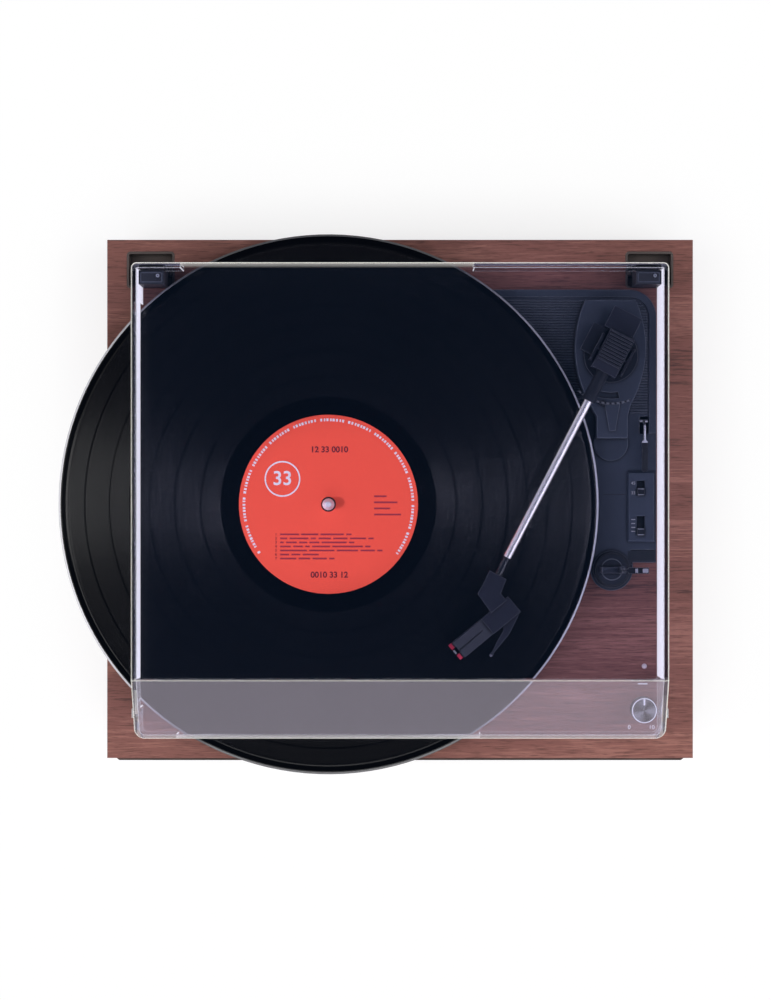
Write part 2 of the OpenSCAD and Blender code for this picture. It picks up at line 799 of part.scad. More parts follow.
module drive_belt() color("#161616") at_spindle() rotate([0, 0, motor_deg])
    translate([0, 0, belt_mid - belt_h / 2]) linear_extrude(belt_h) difference() {
        belt_loop(body_gap + belt_t);
        belt_loop(body_gap);
    }

module motor_pulley() color("#c9a24a") at_motor() {
    translate([0, 0, platter_z - body_gap]) cylinder(h = platter_under - platter_z, r = pulley_r);
    translate([0, 0, z_top - motor_h / 2 + body_gap])
        cylinder(h = motor_h / 2 + platter_z - z_top, r = motor_shaft_r);
}

// Platter stack
module platter() color("#a9adb2") at_spindle() {
    translate([0, 0, platter_under]) tube(platter_r, spindle_r + run_gap, platter_skin);
    translate([0, 0, platter_z]) tube(platter_r, platter_r - platter_skin, platter_h - cut);
    translate([0, 0, platter_z]) tube(ring_r, ring_r - platter_skin, platter_h - cut);
}

module slip_mat() color("#20242c") at_spindle() difference() {
    translate([0, 0, platter_top]) tube(platter_r - 1, spindle_r + run_gap, mat_t);
    translate([0, 0, record_z - mat_t / 4]) cylinder(h = mat_t, r = land_r);
}

module record() color("#15181f") at_spindle() rotate_extrude() polygon([
    [spindle_r + run_gap, record_z], [record_r - 1, record_z], [record_r, record_z + record_t / 3],
    [record_r, record_z + record_t / 2], [record_r - 1.6, record_top - groove_relief],
    [bead_r + 1, record_top - groove_relief], [bead_r, record_top], [bead_r - 1, record_top - groove_relief],
    [land_r, record_top - groove_relief], [label_r, record_top - label_t],
    [spindle_r + run_gap, record_top - label_t]
]);

module record_label() color("#ec5346") at_spindle() translate([0, 0, record_top - label_t])
    tube(label_r, spindle_r + run_gap, label_t);

module spindle() color("#d6d9dd") at_spindle() {
    translate([0, 0, z_top - shaft_l]) cylinder(h = platter_under - z_top + shaft_l, r = shaft_r);
    translate([0, 0, platter_under - flange_t]) cylinder(h = flange_t, r = flange_r);
    translate([0, 0, platter_under - cut]) cylinder(h = record_top - platter_under + cut, r = spindle_r);
    translate([0, 0, record_top]) cylinder(h = spindle_rise - tip_h, r = tip_r);
    translate([0, 0, record_top + spindle_rise - tip_h])
        cylinder(h = tip_h, r1 = tip_r, r2 = tip_r - 0.8 * tip_h);
}

// Tone arm bearings
module arm_bush() color("#c9a24a") at_pivot() translate([0, 0, z_top - arm_bush_drop])
    tube(arm_bush_r, arm_shaft_r + run_gap, pedestal_top - z_top + arm_bush_drop);

module arm_shaft() color("#c8ccd2") at_pivot() translate([0, 0, z_top - arm_bush_drop + cut])
    cylinder(h = turret_top - z_top + arm_bush_drop - cut, r = arm_shaft_r);

module arm_turret() color("#232a37") difference() {
    union() {
        at_pivot() translate([0, 0, turret_z]) cylinder(h = turret_t, r = turret_r);
        on_arm() {
            z0 = turret_top - arm_z - cut;
            for (s = [0, 1]) mirror([0, s, 0])
                box(cheek_l / 2 * [-1, 1], [cheek_in, cheek_in + cheek_t], [z0, cheek_top - arm_z]);
            box([-housing_back, housing_front], [-housing_y, -cheek_in], [z0, housing_top - arm_z]);
        }
    }
    at_pivot() translate([0, 0, turret_z - cut]) cylinder(h = turret_t + 2 * cut, r = arm_shaft_r + seat_gap);
    on_arm() rod_y(-housing_y - cut, cheek_in + cheek_t + cut, gimbal_r + seat_gap);
}

module gimbal_pins() color("#c8ccd2") on_arm() for (s = [0, 1]) mirror([0, s, 0])
    rod_y(block_wide / 2 - 4, cheek_in + cheek_t, gimbal_r);

// Tone arm
module block_side() polygon([
    [block_rear, block_z0 - arm_z], [block_nose, block_z0 - arm_z], [block_nose, block_nose_top - arm_z],
    [block_front, block_top - arm_z - block_rib_h], [block_rear, block_top - arm_z - block_rib_h]
]);

module rear_block() color("#2a3140") on_arm() difference() {
    union() {
        translate([0, block_wide / 2, 0]) rotate([90, 0, 0]) linear_extrude(block_wide) block_side();
        box([block_rear - tail_l, block_rear], [-tail_left, tail_right], [tail_z0 - arm_z, tail_top - arm_z]);
        for (i = [0 : block_ribs - 1]) translate([block_rear + (i + 0.25) * block_l / block_ribs, 0, 0])
            box([0, block_l / block_ribs / 2], (block_wide / 2 - block_rib_in) * [-1, 1],
                [block_top - arm_z - 2 * block_rib_h, block_top - arm_z]);
    }
    rod_y(-block_wide, block_wide, gimbal_r + run_gap);
}

module arm_collar() color("#1b212c") on_arm() difference() {
    rod_x(block_nose, collar_end, collar_r);
    rod_x(tube_start, collar_end + cut, tube_r + seat_gap);
}

module arm_tube() color("#d9dbe0") on_arm() rod_x(tube_start, tube_end, tube_r);

module arm_ferrule() color("#20242c") on_arm() rod_x(tube_end, shell_start + shell_hold, ferrule_r);

// A point on the headshell's left side, as seen along the arm
function shell_side(x) = [
    shell_reach + x * cos(shell_deg) - (shell_w / 2 - 1) * sin(shell_deg),
    -x * sin(shell_deg) - (shell_w / 2 - 1) * cos(shell_deg)
];

module shell_neck() polygon([
    [shell_start, -neck_half], [shell_start, neck_half], [shell_start + neck_right, neck_half + neck_flare],
    shell_side(neck_lap - shell_l), shell_side(neck_reach - shell_l), [shell_start + neck_left, -neck_half]
]);

module headshell() color("#272d3a") difference() {
    union() {
        on_arm() translate([0, 0, -shell_h / 2]) linear_extrude(shell_h) shell_neck();
        on_shell() box([-shell_l, -cartridge_l], shell_w / 2 * [-1, 1], [-shell_h / 2, shell_h / 2 - 1]);
    }
    on_arm() rod_x(shell_start - cut, shell_start + shell_hold, ferrule_r + seat_gap);
}

// The finger lift runs forwards from the headshell's rear right corner
module finger_lift() color("#272d3a") on_shell() translate([-shell_l, shell_w / 2, -1]) {
    linear_extrude(finger_t) polygon([
        [0, 0], [finger_root, 0.7 * finger_out], [finger_l, finger_out + finger_w / 2],
        [finger_l, finger_out - finger_w / 2], [0.73 * finger_l, 0.53 * finger_out],
        [0.52 * finger_l, 0.28 * finger_out], [finger_root, 0]
    ]);
    translate([finger_l, finger_out, finger_t / 2]) sphere(finger_tip_r);
}

module cartridge() color("#3d4253") on_shell() difference() {
    box([-cartridge_l, 0], cartridge_w / 2 * [-1, 1], [cartridge_z0 - arm_z, cartridge_top - arm_z]);
    box([-cartridge_l + 3, cut], [-0.5, 0.5], [cartridge_top - arm_z - 0.5, cut + cartridge_top - arm_z]);
}

module stylus_holder() color("#e0303c") on_shell() {
    z1 = cartridge_z0 - arm_z;
    box([-holder_l, 0], cartridge_w / 2 * [-1, 1], [z1 - holder_h, z1]);
    for (s = [0, 1]) mirror([0, s, 0])
        box([-cut, prong_l], [cartridge_w / 2 - prong_w, cartridge_w / 2], [z1 - holder_h, z1]);
}

module stylus() color("#d6d9dd") on_shell() {
    z1 = cartridge_z0 - holder_h - arm_z;
    tip = record_top + stylus_gap - arm_z;
    translate([-stylus_in, 0, tip]) cylinder(h = z1 - tip, r1 = 0.1, r2 = 0.5);
}

// Cueing
module at_lift() at_pivot() rotate([0, 0, lift_mid]) translate([lift_r, 0, 0]) children();

module lift_platform() color("#3a4252") {
    at_pivot() translate([0, 0, lift_top - lift_bar]) rotate([0, 0, lift_from])
        rotate_extrude(angle = lift_to - lift_from) translate([lift_r - lift_bar / 2, 0]) square(lift_bar);
    at_lift() translate([0, 0, z_deck + lift_post_up])
        cylinder(h = lift_top - z_deck - lift_post_up - lift_bar / 2, r = lift_post_r);
}

module at_cue() on_plinth() translate([cue_x, cue_y, cue_z]) children();

module cue_lever() color("#3a3f49") at_cue() {
    shaft = cue_slot_w / 2 + 0.6 * cue_ear_t;
    rise = [0, -cue_reach / 4, cue_rise];
    grip = [0, -cue_reach, cue_rise + 1];
    rod_x(-shaft, shaft, cue_shaft_r);
    rod([0, 0, 0], rise, cue_wire_r);
    translate(rise) sphere(cue_wire_r);
    rod(rise, grip, cue_wire_r);
    translate(grip + [0, -cue_handle_l / 2 + 1, -cue_handle_t / 2]) linear_extrude(cue_handle_t)
        rounded([cue_handle_w, cue_handle_l], cue_handle_w / 2 - 0.1);
}

module cue_bracket() color("#3a3f49") at_cue() difference() {
    x = cue_slot_w / 2;
    for (s = [0, 1]) mirror([s, 0, 0]) box([x - cue_ear_t / 2, x + cue_ear_t / 2], cue_ear_h * [-1, 1],
        [-cue_ear_h, z_top - cue_z]);
    rod_x(-2 * x, 2 * x, cue_shaft_r + run_gap);
}

// Controls on the deck
module at_switch(y) on_plinth() translate([switch_x, y, 0]) children();

module switch_slots() for (s = [[speed_y, speed_travel], [stop_y, stop_travel]])
    at_switch(s[0]) translate([0, 0, z_top - cut]) linear_extrude(deck_t + plate_h + 2 * cut)
        square([slot_w, nub_l + s[1] + 2 * body_gap], center = true);

module switch_plate() color("#39404f") difference() {
    on_plinth() translate([plate_x, plate_y, z_deck]) hull() {
        linear_extrude(plate_h / 4) square([plate_w, plate_d], center = true);
        linear_extrude(plate_h) square([plate_w - 2 * plate_bevel, plate_d - 2 * plate_bevel], center = true);
    }
    switch_slots();
}

module switch_bodies() color("#50555c") for (y = [speed_y, stop_y]) at_switch(y)
    box(switch_body_w / 2 * [-1, 1], switch_body_d / 2 * [-1, 1], [z_top - switch_body_h, z_top]);

module switch_knob(y, travel) at_switch(y) translate([0, -travel / 2, 0])
    box((slot_w / 2 - body_gap) * [-1, 1], nub_l / 2 * [-1, 1],
        [z_top + body_gap, z_deck + plate_h + nub_rise]);

module speed_knob() color("#14171d") switch_knob(speed_y, speed_travel);

module stop_knob() color("#14171d") switch_knob(stop_y, stop_travel);

// Arm rest
module arm_rest() color("#2a303c") at_rest() difference() {
    union() {
        translate([0, 0, z_deck]) cylinder(h = rest_base_h, r = rest_r);
        translate([0, 0, z_deck]) cylinder(h = rest_base_h + rest_disc_h, r = rest_r - 1.2);
        box([-rest_left, rest_right], rest_t / 2 * [-1, 1], [z_deck, rest_floor]);
        box([rest_slot, rest_right], rest_t / 2 * [-1, 1], [z_deck, clip_z]);
        translate([clip_x, 0, clip_z]) rod_y(-rest_t / 2, rest_t / 2, clip_r);
    }
    box([rest_slot - cut, rest_right + cut], (clip_t / 2 + seat_gap) * [-1, 1],
        [clip_z - clip_r - body_gap, clip_z + 2 * clip_r]);
    translate([clip_x, 0, clip_z]) rod_y(-rest_t, rest_t, clip_pin_r + seat_gap);
}

module clip_pin() color("#c8ccd2") at_rest() translate([clip_x, 0, clip_z])
    rod_y(-rest_t / 2, rest_t / 2, clip_pin_r);

module rest_clip() color("#20252f") at_rest() translate([clip_x, 0, clip_z]) difference() {
    union() {
        rod_y(-clip_t / 2, clip_t / 2, clip_r);
        box([0, clip_l], clip_t / 2 * [-1, 1], clip_r / 2 * [-1, 1]);
        box([clip_r + 1, clip_l], rest_t / 2 * [-1, 1], clip_r / 2 * [-1, 1]);
        box([clip_l - 1.5, clip_l], rest_t / 2 * [-1, 1], [-clip_r / 2, clip_tip]);
    }
    rod_y(-rest_t, rest_t, clip_pin_r + run_gap);
}

// Volume control and power light
module volume_pot() color("#7b8087") at_knob() difference() {
    union() {
        translate([0, 0, wall_top - pot_h]) cylinder(h = pot_h, r = pot_r);
        translate([0, 0, wall_top - cut]) cylinder(h = top_t + pot_bush_rise + cut, r = pot_bush_r);
    }
    translate([0, 0, wall_top - pot_h / 2]) cylinder(h = top_t + pot_h, r = pot_shaft_r + run_gap);
}

module volume_knob() color("#4b4d52") at_knob() {
    translate([0, 0, z_top + knob_lift]) cylinder(h = knob_h - knob_chamfer, r = knob_r);
    translate([0, 0, z_top + knob_lift + knob_h - knob_chamfer])
        cylinder(h = knob_chamfer, r1 = knob_r, r2 = knob_r - knob_chamfer);
    translate([0, 0, wall_top - pot_h / 2 + body_gap])
        cylinder(h = pot_h / 2 + top_t + knob_lift, r = pot_shaft_r);
}

module power_light() color("#e8e6ea") on_plinth() translate([led_x, led_y, z_top]) {
    translate([0, 0, -led_l]) cylinder(h = led_l, r = led_r);
    intersection() {
        translate([0, 0, -led_r / 2]) sphere(led_r);
        cylinder(h = led_r, r = led_r);
    }
}

// Rear jacks and circuit board
module at_jacks(n) on_plinth() translate([jack_x + n * jack_pitch, jack_y, jack_z]) children();

module at_jack_screws() for (s = [-1, 1])
    at_jacks(0) translate([s * (jack_plate_w / 2 - jack_lap / 2), 0, 0]) children();

module jack_plate() color("#2b2d31") difference() {
    at_jacks(0) box(jack_plate_w / 2 * [-1, 1], [-jack_plate_t, 0], jack_plate_h / 2 * [-1, 1]);
    for (n = [-1, 0]) at_jacks(n) rod_y(-2 * jack_plate_t, cut, jack_r + seat_gap);
    at_jacks(1) rod_y(-2 * jack_plate_t, cut, dc_r + seat_gap);
    at_jack_screws() rod_y(-2 * jack_plate_t, cut, jack_screw_r + seat_gap);
}

module socket(r, bore, l) difference() {
    union() {
        rod_y(-jack_plate_t - jack_back, l, r);
        rod_y(-jack_plate_t - jack_back, -jack_plate_t, r + 1.5);
    }
    rod_y(l - jack_l, l + cut, bore);
}

module phono_sockets() color("#d6d9dd") for (n = [-1, 0]) at_jacks(n) socket(jack_r, jack_bore_r, jack_l);

module power_inlet() color("#17181b") at_jacks(1) socket(dc_r, dc_bore_r, jack_l / 2);

module jack_screws() color("#8f9296") at_jack_screws() {
    rod_y(-jack_plate_t - jack_head_t, -jack_plate_t, jack_head_r);
    rod_y(-jack_plate_t - cut, jack_screw_l, jack_screw_r);
}

module circuit_board() color("#2f6b45") on_plinth() translate([board_x, board_y, z_base + board_rise]) {
    box(board_w / 2 * [-1, 1], board_d / 2 * [-1, 1], [0, board_t]);
    for (i = [-1, 0, 1]) translate([i * board_w / 4, board_d / 4, 0]) cylinder(h = cap_h, r = cap_r);
    box(board_w / 4 * [-1, 1], [-board_d / 3, -board_d / 6], [0, chip_h]);
}

module board_posts() color("#c9a24a") on_plinth() translate([board_x, board_y, z_base])
    for (i = [-1, 1], j = [-1, 1])
        translate([i * (board_w / 2 - post_in), j * (board_d / 2 - post_in), 0])
            cylinder(h = board_rise, r = board_post_r);

// Hinges
module hinge_cups() color("#16181c") both_sides() difference() {
    union() {
        translate([0, 0, z_top - pocket_sink]) linear_extrude(pocket_sink) difference() {
            pocket_outline(seat_gap);
            pocket_outline(seat_gap + cup_wall);
        }
        translate([0, 0, z_top - pocket_sink]) linear_extrude(1) pocket_outline(seat_gap);
        for (x = [ear_in_x, ear_out_x]) {
            box([x, x + ear_t], [hinge_y - ear_r, hinge_y + ear_r], [z_top - pocket_sink, hinge_z]);
            translate([0, hinge_y, hinge_z]) rod_x(x, x + ear_t, ear_r);
        }
    }
    translate([0, hinge_y, hinge_z]) rod_x(ear_in_x - cut, ear_out_x + ear_t + cut, pin_r + seat_gap);
}

module hinge_pins() color("#c8ccd2") both_sides() translate([0, hinge_y, hinge_z])
    rod_x(ear_in_x, ear_out_x + ear_t, pin_r);

// Dust cover
module cover_plan(inset) {
    x = lid_x - inset;
    y0 = lid_y0 + inset;
    y1 = lid_y1 - inset;
    f = corner_front - inset;
    b = corner_rear - inset;
    polygon([
        [f - x, y0], [x - f, y0], [x, y0 + f], [x, y1 - b],
        [x - b, y1], [b - x, y1], [-x, y1 - b], [-x, y0 + f]
    ]);
    for (s = [-1, 1]) {
        translate([s * (x - f), y0 + f]) circle(f);
        translate([s * (x - b), y1 - b]) circle(b);
    }
}

// Side view of the cover, drawn in by its wall thickness
module cover_side(inset, foot) {
    low = inset * (1 - sin(slope_a)) / cos(slope_a);
    high = inset * (1 - cos(slope_a)) / sin(slope_a);
    polygon([
        [lid_y0 + inset, lid_z0 - foot], [lid_y1 - inset, lid_z0 - foot], [lid_y1 - inset, lid_z1 - inset],
        [slope_y + high, lid_z1 - inset], [lid_y0 + inset, slope_z - low]
    ]);
}

module cover_solid(inset, foot) intersection() {
    rotate([90, 0, 90]) translate([0, 0, -lid_x]) linear_extrude(2 * lid_x) cover_side(inset, foot);
    translate([0, 0, lid_z0 - cut]) linear_extrude(lid_h + 2 * cut) cover_plan(inset);
}

module dust_cover() color("#cdd3dc", 0.35) {
    left = chord(lid_in_x + spindle_dx) + cut_clear;
    front = chord(spindle_dy - lid_y0 - lid_wall) + cut_clear;
    rear = chord(lid_y1 - lid_wall - spindle_dy) + cut_clear;
    on_plinth() difference() {
        cover_solid(0, 0);
        cover_solid(lid_wall, cut);
        box([-lid_x - cut, 1 - lid_in_x], [spindle_dy - left, spindle_dy + left], [lid_z0 - cut, cut_z]);
        box([spindle_dx - front, spindle_dx + front], [lid_y0 - cut, lid_y0 + lid_wall + 1],
            [lid_z0 - cut, cut_z]);
        box([-lid_in_x, lid_in_x], [lid_y1 - lid_wall - 1, lid_y1 + cut], [lid_z0 - cut, cut_z]);
        box([spindle_dx - rear, spindle_dx + rear], [lid_y1 - lid_wall - 1, lid_y1 + cut],
            [lid_z0 - cut, lid_z1 - lid_wall]);
    }
}

// The lugs hang from the cover's side walls and reach up inside its rear wall
module hinge_lugs() color("#16181c") both_sides() difference() {
    union() {
        box([lug_x0, lid_in_x], [hinge_y - lug_d, lid_y1 - corner_rear], [lid_z0, cut_z + lug_rise]);
        box([lug_x0, lid_in_x], [hinge_y - lug_d, lid_y1], [lid_z0, cut_z]);
        translate([0, hinge_y, hinge_z]) rod_x(lug_x0, lid_in_x, knuckle_r);
    }
    translate([0, hinge_y, hinge_z]) rod_x(lug_x0 - cut, lid_in_x + cut, pin_r + run_gap);
}

module lid_bumpers() color("#d8d9dc") both_sides() translate([0, lid_y0 + bumper_in, 0]) {
    box([lid_in_x + 1, lid_x + bumper_t], [0, bumper_l], [lid_z0 - bumper_drop, lid_z0]);
    box([lid_x, lid_x + bumper_t], [0, bumper_l], [lid_z0 - bumper_drop, lid_z0 + bumper_h]);
}

top_panel();
front_panel();
rear_panel();
left_panel();
right_panel();
front_fascia();
corner_blocks();
bottom_panel();
base_screws();
feet();
deck_plate();
deck_screws();
arm_pedestal();
spindle_bush();
motor_can();
drive_belt();
arm_bush();
switch_plate();
switch_bodies();
cue_bracket();
arm_rest();
clip_pin();
volume_pot();
power_light();
circuit_board();
board_posts();
jack_plate();
phono_sockets();
power_inlet();
jack_screws();
hinge_cups();
hinge_pins();
motor_pulley();
platter();
slip_mat();
record();
record_label();
spindle();
arm_turret();
arm_shaft();
gimbal_pins();
rear_block();
arm_collar();
arm_tube();
arm_ferrule();
headshell();
finger_lift();
cartridge();
stylus_holder();
stylus();
lift_platform();
cue_lever();
speed_knob();
stop_knob();
rest_clip();
volume_knob();
dust_cover();
hinge_lugs();
lid_bumpers();
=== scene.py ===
"""Looks for a compact belt-drive record player, dressed over its CAD frame and set in a pale studio."""

import math

import bmesh
import bpy
from bpy.props import FloatProperty, FloatVectorProperty, IntProperty, PointerProperty
from mathutils import Matrix, Vector


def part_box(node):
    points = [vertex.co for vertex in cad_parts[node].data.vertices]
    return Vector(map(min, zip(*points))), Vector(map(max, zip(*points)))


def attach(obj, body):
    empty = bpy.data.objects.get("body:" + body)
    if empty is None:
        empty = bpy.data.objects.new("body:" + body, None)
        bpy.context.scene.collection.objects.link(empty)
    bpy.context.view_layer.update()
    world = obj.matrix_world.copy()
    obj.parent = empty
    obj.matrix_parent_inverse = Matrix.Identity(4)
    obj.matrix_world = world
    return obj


bl_info = {
    "name": "Record Player",
    "version": (1, 0, 0),
    "blender": (4, 5, 0),
    "location": "3D View > Sidebar > Record Player",
    "description": "Dresses a record player's CAD frame with finishes, prints and small trim",
    "category": "Object",
}

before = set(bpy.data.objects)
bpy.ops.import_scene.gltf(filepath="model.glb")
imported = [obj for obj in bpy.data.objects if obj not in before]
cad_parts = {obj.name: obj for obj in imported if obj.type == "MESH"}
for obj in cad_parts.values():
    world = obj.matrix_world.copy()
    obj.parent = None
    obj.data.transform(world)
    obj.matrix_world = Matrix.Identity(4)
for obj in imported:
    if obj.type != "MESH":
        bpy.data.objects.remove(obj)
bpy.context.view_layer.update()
MM = 0.001


def colour(label, note, value):
    """A colour setting, kept as linear values."""
    return FloatVectorProperty(name=label, description=note, default=value, subtype="COLOR", min=0, max=1)


def length(label, note, millimetres):
    """A size setting, written in millimetres and kept in metres."""
    return FloatProperty(name=label, description=note, default=millimetres * MM, unit="LENGTH", precision=5)


def amount(label, note, value):
    """A plain number, mostly between 0 and 1."""
    return FloatProperty(name=label, description=note, default=value, min=0, subtype="FACTOR", soft_max=1)


def power(label, note, watts):
    """A lamp's power."""
    return FloatProperty(name=label, description=note, default=watts, unit="POWER")


class WoodSettings(bpy.types.PropertyGroup):
    """The plinth's veneer and boards."""

    light: colour("Light grain", "Lightest streaks of the walnut veneer", (0.310, 0.134, 0.106))
    middle: colour("Middle grain", "Main colour of the walnut veneer", (0.208, 0.082, 0.066))
    dark: colour("Dark grain", "Darkest streaks of the walnut veneer", (0.070, 0.031, 0.027))
    fascia: colour("Fascia", "Main colour of the dark front fascia", (0.060, 0.036, 0.030))
    edge: length("Edge", "Radius of the plinth's softened edges", 0.5)


class PlasticSettings(bpy.types.PropertyGroup):
    """The moulded plastics of the deck and the tone arm."""

    deck: colour("Deck", "Moulded deck, pedestal and switch plate", (0.031, 0.040, 0.059))
    black: colour("Black", "Small black mouldings", (0.008, 0.010, 0.016))
    shell: colour("Shell", "Headshell and rear block", (0.014, 0.016, 0.026))
    cartridge: colour("Cartridge", "Body of the cartridge", (0.038, 0.040, 0.050))
    red: colour("Stylus holder", "Red stylus holder", (0.62, 0.035, 0.075))
    mark: colour("Marks", "Printed marks on the plinth and the deck", (0.95, 0.93, 0.93))
    edge: length("Edge", "Radius of the mouldings' softened edges", 0.55)


class RecordSettings(bpy.types.PropertyGroup):
    """The record and its label."""

    vinyl: colour("Vinyl", "Black of the record", (0.0022, 0.0022, 0.0030))
    # The rim colour is a painted highlight laid on the record's outer rim, mostly at its left and right.
    rim: colour("Rim", "Worn outer rim of the record", (0.60, 0.59, 0.61))
    label: colour("Label", "Red paper of the label", (0.980, 0.094, 0.046))
    print_light: colour("Light print", "Pale print on the label", (0.86, 0.80, 0.78))
    print_dark: colour("Dark print", "Dark print on the label", (0.16, 0.014, 0.022))
    dashes: IntProperty(name="Dashes", description="Dashes in the label's pale ring", default=118, min=12)
    dash_radius: length("Dash ring", "Radius of the label's pale ring", 47.2)
    dash_height: length("Dash height", "Radial height of a dash", 1.5)
    print_thickness: length("Print", "Thickness of all printed marks", 0.04)


class CoverSettings(bpy.types.PropertyGroup):
    """The clear dust cover."""

    tint: colour("Tint", "Colour left after light has crossed one wall", (0.725, 0.725, 0.845))
    # The rim colour is the tone of the painted highlight on the cover's walls.
    rim: colour("Rim", "Pale tone of the walls at a grazing view", (0.98, 0.965, 1.0))
    edge: length("Edge", "Radius of the cover's softened edges", 1.3)
    slope: length("Slope", "Depth of the cover's front slope", 33.5)
    # The glow sets a painted glow: an emission on the walls and the edges.
    glow: amount("Glow", "Light gathered in the walls and the edges", 0.37)


class StageSettings(bpy.types.PropertyGroup):
    """Camera, floor and lamps."""

    camera_x: length("Camera X", "Camera's place, to the right", 12.7)
    camera_y: length("Camera Y", "Camera's place, to the rear", 2.4)
    camera_z: length("Camera height", "Camera's height above the table", 1775)
    lens: FloatProperty(
        name="Lens", description="Focal length on a 36 mm frame", default=108.6, unit="CAMERA"
    )
    floor: colour("Floor", "Pale tone of the floor", (0.86, 0.86, 0.86))
    zenith: colour("Zenith", "Dark gap between the lamps overhead", (0.018, 0.045, 0.095))
    side_power: power("Side lamps", "Power of a side lamp", 13)
    front_power: power("Front lamp", "Power of the front lamp", 6.5)
    label_power: power("Label lamp", "Power of the label's spot", 68)
    high_power: power("High lamps", "Power of a high side lamp", 3.2)
    low_power: power("Low lamp", "Power of the low front lamp", 11.2)


# Shader building


def shade(base, factor):
    """A colour made darker or lighter."""
    return tuple(factor * c for c in base)


def shades(base, dark, light=1, start=0.3, end=0.7):
    """Two stops for a ramp, each a shade of one colour."""
    return [(start, shade(base, dark)), (end, shade(base, light))]


class Nodes:
    """A node tree, with short ways to add and join its nodes."""

    def __init__(self, tree):
        self.tree = tree

    def add(self, kind, **settings):
        """Adds a node and sets its own properties."""
        node = self.tree.nodes.new("ShaderNode" + kind)
        for key, value in settings.items():
            setattr(node, key, value)
        return node

    def link(self, source, target):
        """Joins an output socket to an input socket."""
        self.tree.links.new(source, target)

    def math(self, operation, a, b=None):
        """Combines two sockets or numbers."""
        node = self.add("Math", operation=operation)
        for value, socket in zip((a, b), node.inputs):
            if isinstance(value, (int, float)):
                socket.default_value = value
            elif value is not None:
                self.link(value, socket)
        return node.outputs[0]

    def product(self, *values):
        """Multiplies several sockets or numbers."""
        total = values[0]
        for value in values[1:]:
            total = self.math("MULTIPLY", total, value)
        return total

    def axes(self, vector):
        """The X, Y and Z of a vector socket."""
        node = self.add("SeparateXYZ")
        self.link(vector, node.inputs[0])
        return node.outputs

    def ramp(self, value, stops):
        """Colours along a value; each stop is a place and a colour or a grey."""
        node = self.add("ValToRGB")
        band = node.color_ramp
        for place, tone in stops[2:]:
            band.elements.new(place)
        for element, (place, tone) in zip(band.elements, sorted(stops)):
            element.position = place
            element.color = (*tone, 1) if isinstance(tone, tuple) else (tone, tone, tone, 1)
        self.link(value, node.inputs["Fac"])
        return node.outputs["Color"]

    def mix(self, kind, factor, first, second):
        """Mixes two colours; each is a socket or a colour."""
        node = self.add("Mix", data_type="RGBA", blend_type=kind)
        sockets = (node.inputs[0], node.inputs[6], node.inputs[7])
        for value, socket in zip((factor, first, second), sockets):
            if isinstance(value, (int, float)):
                socket.default_value = value
            elif isinstance(value, tuple):
                socket.default_value = (*value, 1)
            else:
                self.link(value, socket)
        return node.outputs[2]


